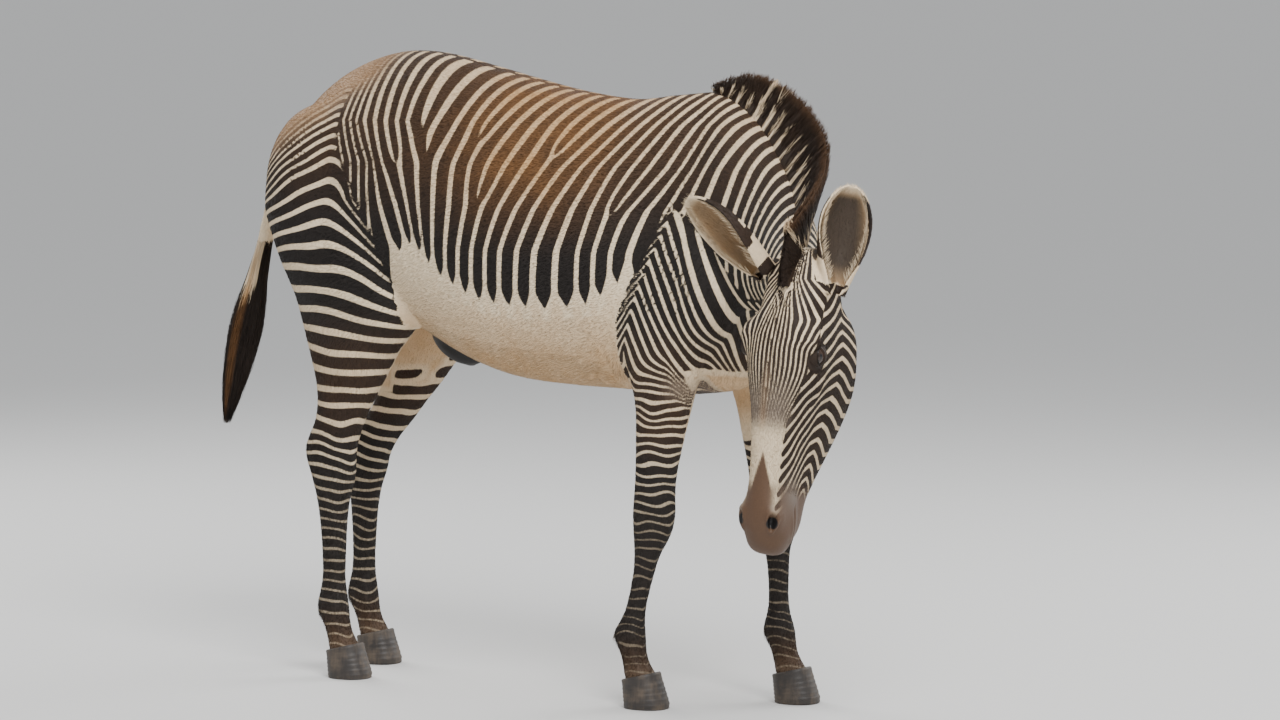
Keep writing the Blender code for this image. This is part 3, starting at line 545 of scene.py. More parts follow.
    def barrel_count(self, points: Array) -> Array:
        """The flank's count, passing into the neck's in front of the withers."""
        y, z = points[:, 1], points[:, 2]
        share = ramp(y, self.neck_starts, self.neck_alone)
        near = share > 0
        total = np.zeros(len(points))
        flank = share < 1
        if flank.any():
            total[flank] = self.flank_count(points[flank]) * (1 - share[flank])
        if near.any():
            meet = knots(z[near], *self.neck_meets) + 8 * np.clip(points[near][:, 0], 0, 0.18)
            meet = meet - 8 * np.clip(-0.56 - y[near], 0, 0.24) * ramp(z[near], 1.15, 1.0)
            meet = np.where(meet > 0, meet * ramp(y[near], -0.88, -0.60), meet)
            total[near] += (meet - 10.9 - self.neck_count(points[near])) * share[near]
        return total

    def body_white(self, points: Array, normals: Array) -> Array:
        """Depth inside the pale stripes of barrel, haunch, shoulder and legs."""
        own, turned = self.own_side(points, normals)
        y, z = own[:, 1], own[:, 2]
        belly = knots(y, *self.belly)
        share = 0.29 + 0.13 * ramp(z, 1.28, 1.46) + 0.05 * ramp(y, -0.50, -0.70)
        share = share + 0.012 * wander(points, 0.2, 61)
        share = share + (1.02 - share) * ramp(z, belly + 0.060, belly + 0.004)
        neck = points[:, 1:2] < self.neck_starts
        white = self.stripes(self.barrel_count, np.where(neck, points, own), np.where(neck, normals, turned),
                             share)
        white = np.maximum(white, np.where((y > self.neck_starts) & (y < 0.36), belly - z, -1.0))

        edge = y - knots(z, *self.haunch_edge)
        haunch = self.stripes(self.haunch_count, own, turned, knots(z, *self.haunch_share))
        beside = knots(z, *self.rump_strip) + 0.007 * wander(points, 0.05, 64) - np.abs(points[:, 0])
        haunch = np.maximum(haunch, np.minimum(np.minimum(beside, 1.33 - z), np.minimum(z - 0.70, y - 0.5)))
        border = np.where(z > 0.95, 0.004, -0.03)
        white = np.minimum(white, np.maximum(-edge - border, belly - z))
        white = np.where(edge > 0, np.minimum(haunch, edge - border), white)

        inside = np.minimum(knots(z, *self.shoulder_seam) - y, knots(y, *self.shoulder_top) - z) * 0.85
        roofs = self.stripes(self.shoulder_count, own, turned, knots(z, *self.shoulder_share))
        roofs = np.minimum(roofs, np.where(z > 0.7, 0.0072, 1.0))
        chest = np.minimum(0.822 + 0.006 * wander(points, 0.04, 63) - z, -0.53 - y)
        roofs = np.maximum(roofs, np.minimum(chest, y + 0.76))
        outside = np.minimum(white, np.where(z > 1.0, -inside - 0.003, 1.0))
        white = np.where(inside > 0, np.minimum(roofs, np.where(z > 0.98, inside - 0.003, 1.0)), outside)

        stripes_to = np.where(y > 0, 0.72, 0.60)
        inner = ramp(turned[:, 0], 0.15, 0.55) * ramp(z, stripes_to, np.where(y > 0, 0.82, 0.70))
        inner = inner * ramp(z, 1.06, 0.96) * ramp(y, -0.70, -0.62)
        between = ramp(-turned[:, 2], 0.2, 0.5) * ramp(np.abs(points[:, 0]), 0.13, 0.10) * ramp(y, 0.25, 0.32)
        between = between * ramp(z, 0.70, 0.76) * ramp(z, 1.04, 0.92)
        inner = np.maximum(inner, between)
        white = white + inner * (self.reach - white)
        topmost = (turned[:, 2] > 0.35) & (z > 1.25) & (y > -0.60)
        down_tail = np.array(BODY.tail)[1:6][::-1]
        middle = np.interp(z, down_tail[:, 2], down_tail[:, 0])
        behind = points[:, 1] > np.interp(z, down_tail[:, 2], down_tail[:, 1]) - 0.004
        dock = (z < 1.36) & (z > 0.9) & behind
        off = np.abs(points[:, 0] - np.where(dock, middle, 0.0))
        spine = np.where(topmost | dock, off - 0.010, 1.0)
        return np.minimum(white, spine)

    def croup(self, points: Array) -> Array:
        """How far places lie on the plain buff top of the croup."""
        y, z = points[:, 1], points[:, 2]
        line = 1.49 - 0.62 * (y - 0.42)
        return ramp(z - line + 0.010 * wander(points, 0.06, 62), -0.055, 0.035) * ramp(y, 0.34, 0.44)

    def head_white(self, points: Array, normals: Array) -> Array:
        """Depth inside the pale stripes of the head."""
        angle, down, _ = self.face_place(points)
        a = np.abs(angle)
        local = BODY.head_local(points)
        edge = (knots(down, *self.face_edge) - a) * self.degree
        full = np.ones_like(a)
        front = self.stripes(self.front_count, points, normals, full * 0.36)
        cheek = self.stripes(self.cheek_count, points, normals, full * 0.33)
        white = np.where(edge > 0, np.minimum(front, edge - 0.001), np.minimum(cheek, -edge - 0.001))
        patch = ramp(down, 0.335, 0.395) ** 1.5 * ramp(a, 27, 19)
        white = blend(white, self.plain, patch)
        side = np.where(local[:, 0] < 0, -1.0, 1.0)
        gap = local - np.stack([side, full, full], axis=1) * np.array(BODY.eye_place)
        slant = np.array(BODY.eye_slant)
        along = gap @ slant
        athwart = np.linalg.norm(gap - along[:, None] * slant, axis=1)
        white = np.minimum(white, (np.hypot(athwart / 0.75, along - 0.004) - 0.040) * 0.8)
        under = -(normals @ np.array(BODY.head_axes()[1]))
        chin = ramp(under, 0.84, 0.94) * ramp(down, 0.12, 0.20) * ramp(np.abs(local[:, 0]), 0.030, 0.018)
        return blend(white, self.plain, chin)

    def is_head(self, points: Array) -> Array:
        """Whether points belong to the head and not to the neck."""
        _, front, down = BODY.head_axes()
        middle = BODY.head_spot(-0.080, -0.125, 0.062)
        normal = np.array(-down * 0.68 - front * 0.73)
        local = BODY.head_local(points)
        near = (np.abs(local[:, 0]) < 0.14) & (local[:, 1] > -0.27) & (local[:, 2] > -0.08)
        return near & ((points - middle) @ normal < 0)

    def paint(self, points: Array, normals: Array) -> Paint:
        """What colours each place of the skin and of the coat."""
        head = self.is_head(points)
        white = np.zeros(len(points))
        if head.any():
            white[head] = self.head_white(points[head], normals[head])
        if (~head).any():
            white[~head] = self.body_white(points[~head], normals[~head])
        y, z = points[:, 1], points[:, 2]
        angle, down, _ = self.face_place(points)
        rust_and_shade = 1.0 * bell(y, -0.12, 0.22) * ramp(z, 1.06, 1.36) + 0.28 * ramp(z, 1.10, 1.42)
        # the tan low on the barrel and belly, strongest on plain pale hair, is painted shade under the belly
        # and between the legs; the tan on the feet is dust
        rust_and_shade += (0.20 * ramp(z, 0.98, 0.80) * ramp(z, 0.55, 0.7)
                 + 0.62 * ramp(z, 1.10, 0.78) * ramp(z, 0.66, 0.74) * ramp(white, 0.008, 0.018)
                 + 0.35 * ramp(z, 0.20, 0.08))
        croup = self.croup(points)
        rust_and_shade = blend(rust_and_shade, 0.95, croup)
        grey = 0.82 * ramp(z, 0.70, 0.36)
        grey = np.where(y > 0, 0.80 * grey, grey)
        haze = 0.90 * croup * ramp(np.abs(points[:, 0]), 0.009, 0.015) + 0.30 * ramp(z, 0.12, 0.07)
        own = y - np.where(points[:, 0] > 0, falling(BODY.fore_step, z), 0.0)
        haze = np.maximum(haze, 0.75 * bell(np.hypot(own + 0.515, z - 0.778), 0.0, 0.026))
        off = np.abs(angle)
        # the brown wedge is the muzzle's own colour; its middle sits 4 degrees to the left, so the lit right
        # side stays pale lower down as painted light
        wedge = ramp(down - 0.43 - np.abs(angle - 4) * 0.0068, -0.006, 0.010)
        nose = np.maximum(ramp(down, 0.495, 0.530 + 0.02 * ramp(off, 20, 70)), wedge * ramp(off, 50, 35))
        # painted highlight: a pale streak over the upper rim of each nostril, where the brown bare skin gives
        # way to pale hair
        nostril_highlight = bell((down - 0.530) - (off - 22) * 0.0016, 0, 0.030) * bell(off, 24, 5.0)
        nose = nose * (1 - 0.85 * nostril_highlight * ramp(down, 0.49, 0.50))
        strip = bell(angle, 0, 4.5) * ramp(down, 0.20, 0.27) * ramp(down, 0.40, 0.36)
        rust_and_shade = np.where(head, 0.10 + 0.25 * strip, rust_and_shade)
        grey = np.where(head, 0.15 * ramp(down, 0.1, 0.3), grey)
        fade = ramp(down, 0.235, 0.345) * ramp(off, 36, 20) * ramp(down, 0.400, 0.355)
        violet = bell(down, 0.53, 0.035) * bell(off, 52, 22)
        haze = np.where(head, np.maximum(0.80 * fade, np.maximum(violet, 0.45 * strip)), haze)
        bare = np.where(head, nose, 0.0)
        # painted shadow in each nostril hole: near-black bare skin
        for side in (1, -1):
            pit = BODY.head_spot(side * 0.040, 0.069, 0.593)
            nostril_shadow = ramp(np.linalg.norm(points - pit, axis=1), 0.0175, 0.0115)
            bare, grey = np.maximum(bare, nostril_shadow), np.maximum(grey, nostril_shadow)
        white = np.clip(white, -self.reach, self.reach)
        return Paint(white, *(np.clip(values, 0, 1) for values in (rust_and_shade, grey, bare, haze)))


MARKINGS = Markings()
WHITE_SCALE = 50        # brings white, which is cut off at Markings.reach, to run from -1 to 1


# ---------------------------------------------------------------- mesh helpers
def only(piece: bpy.types.Object) -> None:
    """Select one object alone and make it active."""
    for other in bpy.context.view_layer.objects:
        other.select_set(False)
    piece.select_set(True)
    bpy.context.view_layer.objects.active = piece


def apply_all(piece: bpy.types.Object) -> None:
    """Apply every modifier of an object."""
    only(piece)
    for modifier in list(piece.modifiers):
        bpy.ops.object.modifier_apply(modifier=modifier.name)


def object_of(name: str, mesh: bpy.types.Mesh) -> bpy.types.Object:
    """A new object in the scene."""
    piece = bpy.data.objects.new(name, mesh)
    bpy.context.scene.collection.objects.link(piece)
    return piece


def coordinates(mesh: bpy.types.Mesh) -> Array:
    """Vertex places as N x 3."""
    flat = np.empty(len(mesh.vertices) * 3, np.float32)
    mesh.vertices.foreach_get("co", flat)
    return flat.reshape(-1, 3).astype(float)


def move_to(mesh: bpy.types.Mesh, points: Array) -> None:
    """Set vertex places."""
    mesh.vertices.foreach_set("co", points.astype(np.float32).ravel())
    mesh.update()


def normals_of(mesh: bpy.types.Mesh) -> Array:
    """Vertex normals as N x 3."""
    flat = np.empty(len(mesh.vertices) * 3, np.float32)
    mesh.vertex_normals.foreach_get("vector", flat)
    return flat.reshape(-1, 3).astype(float)


def store(mesh: bpy.types.Mesh, name: str, values: Array) -> None:
    """Keep one number per vertex under a name that materials read."""
    layer = mesh.attributes.new(name, "FLOAT", "POINT")
    layer.data.foreach_set("value", values.astype(np.float32))


def store_marks(mesh: bpy.types.Mesh, values: dict[str, Array]) -> None:
    """Keep all the markings on a mesh, with white scaled to run from -1 to 1."""
    for name, amounts in values.items():
        store(mesh, name, (amounts * WHITE_SCALE if name == "white" else amounts).ravel())


def hair_marks(white: Array, rust_and_shade: Array, grey: Array | float = 0.0) -> dict[str, Array]:
    """Markings of hair that is neither bare nor hazy."""
    zero = np.zeros_like(white)
    return {"white": white, "rust_and_shade": rust_and_shade, "grey": zero + grey, "bare": zero, "haze": zero}


def lay_out(piece: bpy.types.Object, margin: float) -> None:
    """Lay a piece's faces out on a new UV map named OFBake."""
    piece.data.uv_layers.new(name="OFBake")
    only(piece)
    bpy.ops.object.mode_set(mode="EDIT")
    bpy.ops.mesh.select_all(action="SELECT")
    bpy.ops.uv.smart_project(angle_limit=math.radians(66), island_margin=margin)
    bpy.ops.object.mode_set(mode="OBJECT")


def relax(bm: bmesh.types.BMesh, verts: list[bmesh.types.BMVert], factor: float, times: int) -> None:
    """Draw points towards the middle of their neighbours."""
    for _ in range(times):
        bmesh.ops.smooth_vert(bm, verts=verts, factor=factor,
                              use_axis_x=True, use_axis_y=True, use_axis_z=True)


def ring(centre: Vector, side: Vector, up: Vector, half: float, rise: float, drop: float,
         squareness: float = 2.0, count: int = 28) -> list[Vector]:
    """One closed section: an ellipse with its own upper and lower half heights."""
    points = []
    for i in range(count):
        angle = 2 * math.pi * i / count
        c, s = math.cos(angle), math.sin(angle)
        wide = half * math.copysign(abs(c) ** (2 / squareness), c)
        high = (rise if s >= 0 else drop) * math.copysign(abs(s) ** (2 / squareness), s)
        points.append(centre + side * wide + up * high)
    return points


def loft(bm: bmesh.types.BMesh, rings: list[list[Vector]]) -> None:
    """Skin over a row of sections, with both ends closed."""
    loops = [[bm.verts.new(point) for point in points] for points in rings]
    count = len(loops[0])
    for first, second in zip(loops, loops[1:]):
        for i in range(count):
            j = (i + 1) % count
            bm.faces.new((first[i], first[j], second[j], second[i]))
    bm.faces.new(list(reversed(loops[0])))
    bm.faces.new(loops[-1])


def ball(bm: bmesh.types.BMesh, centre: Vector, radii: Row, axes: tuple[Vector, ...] | None = None) -> None:
    """An ellipsoid whose radii lie along the given axes."""
    made = bmesh.ops.create_uvsphere(bm, u_segments=24, v_segments=14, radius=1.0)
    turn = Matrix.Identity(3) if axes is None else Matrix(axes).transposed()
    for vert in made["verts"]:
        vert.co = Vector(centre) + turn @ Vector(a * r for a, r in zip(vert.co, radii))


def mesh_of(name: str, bm: bmesh.types.BMesh) -> bpy.types.Mesh:
    """A mesh with outward faces from bmesh data."""
    bmesh.ops.recalc_face_normals(bm, faces=bm.faces[:])
    if bm.calc_volume(signed=True) < 0:
        bmesh.ops.reverse_faces(bm, faces=bm.faces[:])
    mesh = bpy.data.meshes.new(name)
    bm.to_mesh(mesh)
    bm.free()
    return mesh


def core_of(name: str, rings: list[list[Vector]]) -> bpy.types.Object:
    """A smooth closed body inside long hair, from its sections."""
    bm = bmesh.new()
    loft(bm, rings)
    bmesh.ops.triangulate(bm, faces=bm.faces[:])
    mesh = mesh_of(name, bm)
    mesh.shade_smooth()
    return object_of(name, mesh)


# ---------------------------------------------------------------- skin
@dataclass
class Skin:
    """The one skin over all the flesh, under the coat."""

    cell: float = 0.0088                    # side of the coarsest faces
    depth: float = 0.0030                   # the coat stands this high over it
    soften: int = 15                        # rounds of smoothing over the fused forms
    eye_reach: float = 0.052                # finer faces this near an eye's middle
    lid_reach: float = 0.036                # and the finest ones this near
    lid: float = 0.0020                     # a lid's thickness over the eyeball
    opening: tuple[float, float, float] = (0.80, 0.36, 0.36)    # half length, upper and lower half height
    nostril: tuple[float, float, float] = (0.043, 0.072, 0.592)
    nostril_size: tuple[float, float] = (0.0165, 0.0080)
    replaced: tuple[str, ...] = ("trunk", "neck", "head", "tail_dock", "sheath")
    piece: bpy.types.Object | None = field(default=None, init=False)

    def lofts(self) -> bpy.types.Mesh:
        """Trunk, neck, head, legs, tail root and muscles as overlapping closed forms."""
        bm = bmesh.new()
        x_axis, z_axis = Vector((1, 0, 0)), Vector((0, 0, 1))
        loft(bm, [ring(Vector((0, y, middle)), x_axis, z_axis, half, top - middle, middle - bottom,
                       square, 48)
                  for y, top, middle, bottom, half, square in smooth_rows(BODY.trunk, 4)])
        rings = []
        for crest, _, side, up, depth, half in BODY.neck_frames():
            rings.append(ring(crest - up * depth * 0.55, side, up, half, depth * 0.55, depth * 0.45, 1.9, 40))
        loft(bm, rings)
        left, front, down = BODY.head_axes()
        for table in (BODY.skull, BODY.jaw):
            loft(bm, [ring(Vector(BODY.poll) + down * s + front * middle, left, front, half, fore - middle,
                           middle - aft, square, 48)
                      for s, fore, middle, aft, half, square in smooth_rows(table, 4)])
        self.head_masses(bm)
        for fore in (True, False):
            for is_left in (True, False):
                loft(bm, [ring(Vector((x, y, z)), x_axis, Vector((0, -1, 0)), half, deep, deep, 2.1, 28)
                          for z, x, y, half, deep in BODY.leg_rows(fore, is_left)])
                self.leg_masses(bm, fore, is_left)
        self.body_masses(bm)
        self.tail_root(bm)
        return mesh_of("skin_form", bm)

    def head_masses(self, bm: bmesh.types.BMesh) -> None:
        """Brow, cheek, nostril, lip and chin."""
        axes = BODY.head_axes()
        for side in (1, -1):
            for place, radii in (((0.082, 0.048, 0.178), (0.029, 0.034, 0.044)),
                                 ((0.078, 0.018, 0.250), (0.019, 0.026, 0.056)),
                                 ((0.058, -0.085, 0.215), (0.034, 0.092, 0.110)),
                                 ((0.038, 0.052, 0.583), (0.024, 0.034, 0.040)),
                                 ((0.058, -0.006, 0.045), (0.028, 0.038, 0.045)),
                                 ((0.022, 0.028, 0.640), (0.026, 0.036, 0.032))):
                ball(bm, BODY.head_point(side * place[0], place[1], place[2]), radii, axes)
        ball(bm, BODY.head_point(0, -0.048, 0.612), (0.034, 0.036, 0.034), axes)

    def leg_masses(self, bm: bmesh.types.BMesh, fore: bool, left: bool) -> None:
        """Tendon, joint bones and the swelling of the fetlock."""
        sign = 1 if left else -1
        middle = BODY.leg_centre(fore, left, 0.46 if fore else 0.52)
        if fore:
            ball(bm, middle + Vector((0, 0.036, 0.02)), (0.016, 0.022, 0.030))
            ball(bm, middle + Vector((-sign * 0.026, -0.006, -0.01)), (0.020, 0.036, 0.034))
        else:
            ball(bm, middle + Vector((0, 0.043, 0.048)), (0.017, 0.022, 0.048))
            ball(bm, middle + Vector((-sign * 0.024, -0.012, -0.005)), (0.020, 0.036, 0.036))
        fetlock = BODY.leg_centre(fore, left, 0.170)
        ball(bm, fetlock + Vector((0, 0.026, 0.004)), (0.028, 0.022, 0.026))

    def body_masses(self, bm: bmesh.types.BMesh) -> None:
        """Shoulder, upper arm, haunch, hip, stifle and sheath."""
        for side in (1, -1):
            slant = (Vector((1, 0, 0)), Vector((0, 0.86, 0.5)), Vector((0, -0.5, 0.86)))
            shift = float(falling(BODY.fore_step, np.array(0.98))) if side == 1 else 0.0
            ball(bm, (side * 0.116, -0.490, 1.130), (0.082, 0.150, 0.215), slant)
            ball(bm, (side * 0.135, -0.545 + shift, 1.000), (0.085, 0.125, 0.130))
            ball(bm, (side * 0.150, -0.420 + shift, 0.985), (0.078, 0.110, 0.150))
            ball(bm, (side * 0.135, 0.560, 1.225), (0.110, 0.170, 0.215))
            ball(bm, (side * 0.165, 0.300, 1.220), (0.096, 0.160, 0.200))
            ball(bm, (side * 0.160, 0.390, 0.960), (0.095, 0.130, 0.150))
            ball(bm, (side * 0.080, 0.640, 1.200), (0.070, 0.120, 0.150))
        tilt = (Vector((1, 0, 0)), Vector((0, 0.90, 0.43)), Vector((0, -0.43, 0.90)))
        ball(bm, (0, 0.252, 0.838), (0.040, 0.088, 0.046), tilt)

    def tail_root(self, bm: bmesh.types.BMesh) -> None:
        """The dock of the tail down to where the long hair starts."""
        rows = smooth_rows(BODY.tail, 2)[:12]
        rings = []
        for i, row in enumerate(rows):
            ahead = Vector(rows[min(i + 1, len(rows) - 1)][:3]) - Vector(rows[max(i - 1, 0)][:3])
            ahead.normalize()
            side = (Vector((1, 0, 0)) - ahead * ahead.x).normalized()
            half = row[3] * (1.0 if i < 9 else 0.7)
            rings.append(ring(Vector(row[:3]), side, side.cross(ahead), half, half * 0.85, half * 0.85,
                              2.0, 20))
        loft(bm, rings)

    def build(self) -> bpy.types.Object:
        """Fuse the forms, smooth them, refine the head and legs, and sculpt the face."""
        piece = object_of("skin", self.lofts())
        fuse = piece.modifiers.new("fuse", "REMESH")
        fuse.mode = "VOXEL"
        fuse.voxel_size = self.cell
        smooth = piece.modifiers.new("soften", "SMOOTH")
        smooth.factor = 0.6
        smooth.iterations = self.soften
        apply_all(piece)
        self.keep_largest(piece.data)
        points = coordinates(piece.data)
        move_to(piece.data, points - normals_of(piece.data) * self.depth)
        self.refine(piece.data)
        self.sculpt(piece.data)
        self.piece = piece
        return piece

    def keep_largest(self, mesh: bpy.types.Mesh) -> None:
        """Drop any closed hollow or crumb inside the fused form."""
        bm = bmesh.new()
        bm.from_mesh(mesh)
        seen: set[int] = set()
        shells: list[list[bmesh.types.BMFace]] = []
        for seed in bm.faces:
            if seed.index in seen:
                continue
            seen.add(seed.index)
            stack, shell = [seed], []
            while stack:
                face = stack.pop()
                shell.append(face)
                for edge in face.edges:
                    for other in edge.link_faces:
                        if other.index not in seen:
                            seen.add(other.index)
                            stack.append(other)
            shells.append(shell)
        shells.sort(key=len)
        for shell in shells[:-1]:
            bmesh.ops.delete(bm, geom=shell, context="FACES")
        bm.to_mesh(mesh)
        bm.free()

    def refine(self, mesh: bpy.types.Mesh) -> None:
        """Split the faces of the head, the legs, the upper haunch, the eyes, the nostrils and the mouth."""
        self.split(mesh, self.narrow_stripes)
        self.split(mesh, lambda p: (nearest(p, BODY.eyes()) < self.eye_reach) | self.round_mouth(p))
        self.split(mesh, lambda p: nearest(p, BODY.eyes()) < self.lid_reach)

    @staticmethod
    def narrow_stripes(points: Array) -> Array:
        """Whether points lie on the head, the legs, the shoulder or the upper haunch."""
        y, z = points[:, 1], points[:, 2]
        shoulder = (z < 0.96) & (y < -0.22)
        haunch = (y > 0.60) & (np.abs(z - 1.20) < 0.12)
        return MARKINGS.is_head(points) | (z < 0.60) | shoulder | haunch

    @staticmethod
    def round_mouth(points: Array) -> Array:
        """Whether points lie on the lips, the nostrils or the chin."""
        lateral, forward, down = BODY.head_local(points).T
        return (down > 0.53) & (down < 0.70) & (np.abs(lateral) < 0.1) & (forward > -0.1)

    def split(self, mesh: bpy.types.Mesh, chosen) -> None:
        """Cut in four the faces whose corners a test picks, and relax the new points."""
        picked = chosen(coordinates(mesh))
        bm = bmesh.new()
        bm.from_mesh(mesh)
        bm.verts.ensure_lookup_table()
        edges = [e for e in bm.edges if picked[e.verts[0].index] and picked[e.verts[1].index]]
        bmesh.ops.subdivide_edges(bm, edges=edges, cuts=1, use_grid_fill=True)
        verts = {v for e in bm.edges for v in e.verts
                 if v.index == -1 or v.index >= len(picked) or picked[v.index]}
        bmesh.ops.triangulate(bm, faces=[f for f in bm.faces if len(f.verts) > 4])
        relax(bm, list(verts), 0.5, 3)
        bm.to_mesh(mesh)
        bm.free()

    def sculpt(self, mesh: bpy.types.Mesh) -> None:
        """Lids, brows, nostrils, lips and the hollows of the face."""
        points = coordinates(mesh)
        normals = normals_of(mesh)
        axes = rows_of(BODY.head_axes())
        local = BODY.head_local(points)
        facing = normals @ axes.T
        head = MARKINGS.is_head(points) & (local[:, 2] > 0.05)
        move = np.zeros_like(local)
        for side in (1.0, -1.0):
            self.face_forms(local, facing, side, move)
        local = local + move * head[:, None]
        for side in (1.0, -1.0):
            local = np.where(head[:, None], self.lids(local, side), local)
        points = np.array(BODY.poll) + local @ axes
        move_to(mesh, np.where(head[:, None], points, coordinates(mesh)))

    def face_forms(self, local: Array, facing: Array, side: float, move: Array) -> None:
        """Add the nostril, the line of the mouth and the hollows of one side to the moves."""
        lat, fwd, down = local[:, 0] * side, local[:, 1], local[:, 2]
        on_side = ramp(lat, -0.004, 0.004)
        n_lat, n_fwd, n_down = self.nostril
        long_axis = np.array([-0.30, -0.28, 0.91])
        inward = np.array([-0.72, -0.66, -0.12])
        short_axis = np.cross(long_axis, inward)
        gap = np.stack([lat - n_lat, fwd - n_fwd, down - n_down], axis=1)
        half_long, half_short = self.nostril_size
        u = gap @ long_axis / half_long
        v = gap @ short_axis / (half_short * (1 - 0.30 * np.clip(u, -1, 1)))
        w = gap @ inward
        q = np.sqrt(u * u + v * v)
        near = on_side * ramp(np.abs(w), 0.04, 0.025)
        pit = np.exp(-(q ** 3.2)) * near
        rim = bell(q, 1.45, 0.42) * near
        push = inward * np.array([side, 1, 1])
        move += push[None, :] * (0.017 * pit - 0.0030 * rim)[:, None]
        line = knots(down, (0.50, -0.004), (0.56, -0.008), (0.62, -0.020), (0.66, -0.030), (0.70, -0.036))
        cut = bell(fwd - line, 0.0, 0.0042) * ramp(down, 0.545, 0.575) * on_side
        lips = bell(fwd - line, 0.012, 0.008) + 0.8 * bell(fwd - line, -0.013, 0.008)
        lips = lips * ramp(down, 0.56, 0.60) * on_side
        move += facing * (0.0020 * lips - 0.0058 * cut)[:, None]
        hollow = bell(lat, 0.062, 0.020) * bell(down, 0.385, 0.075) * bell(fwd, 0.045, 0.040)
        temple = bell(lat, 0.072, 0.022) * bell(down, 0.112, 0.024) * bell(fwd, 0.040, 0.035)
        crest = bell(fwd - knots(down, (0.25, -0.004), (0.36, 0.012)), 0.0, 0.010) * bell(down, 0.300, 0.060)
        jowl = bell(down - knots(fwd, (-0.2, 0.33), (0.0, 0.20)), 0.0, 0.030) * bell(fwd, -0.10, 0.05)
        outer = lat > 0.03
        amount = -0.0055 * hollow - 0.0060 * temple + 0.0040 * crest * outer - 0.0030 * jowl * outer
        move += facing * (amount * on_side)[:, None]

    def lids(self, local: Array, side: float) -> Array:
        """Draw the skin over the eyeball, with an almond opening."""
        mirror = np.array([side, 1, 1])
        eye = mirror * BODY.eye_place
        outward = mirror * BODY.gaze
        outward /= np.linalg.norm(outward)
        long_axis = np.array(BODY.eye_slant)
        long_axis -= outward * (long_axis @ outward)
        long_axis /= np.linalg.norm(long_axis)
        upper = np.cross(outward, long_axis) * side
        gap = local - eye
        reach = np.linalg.norm(gap, axis=1)
        ray = gap / np.maximum(reach, 1e-6)[:, None]
        u, v, w = ray @ long_axis, ray @ upper, ray @ outward
        half, above, below = self.opening
        taper = np.clip(1 - (np.abs(u) / half) ** 2.0, 0, 1) ** 0.75
        height = np.where(v > 0, above, below) * taper
        inside = (w > 0.1) & (np.abs(u) < half) & (np.abs(v) < height)
        to_rim = np.abs(v) - height
        radius = BODY.eye_radius
        over = w > 0.05
        close = (reach < radius + 0.030) & over
        lid_reach = radius + self.lid + 0.0012 * bell(to_rim, 0.08, 0.08)
        fold = 0.0022 * bell(v - (above * taper + 0.34), 0.0, 0.08) * ramp(np.abs(u), 0.95, 0.6) * (v > 0)
        wanted = np.maximum(reach, lid_reach) - fold
        wanted = np.where(inside, radius - 0.006, wanted)
        blend = ramp(reach, radius + 0.030, radius + 0.016)
        wanted = reach + (wanted - reach) * np.where(inside, 1.0, blend)
        return np.where(close[:, None], eye + ray * wanted[:, None], local)

    def finish(self) -> None:
        """Triangulate, colour and unwrap the skin."""
        mesh = self.piece.data
        bm = bmesh.new()
        bm.from_mesh(mesh)
        bmesh.ops.triangulate(bm, faces=bm.faces[:])
        bm.to_mesh(mesh)
        bm.free()
        mesh.shade_smooth()
        store_marks(mesh, vars(full_paint(coordinates(mesh), normals_of(mesh))))
        lay_out(self.piece, 0.001)
        LOG.info("skin: %d triangles", len(mesh.polygons))


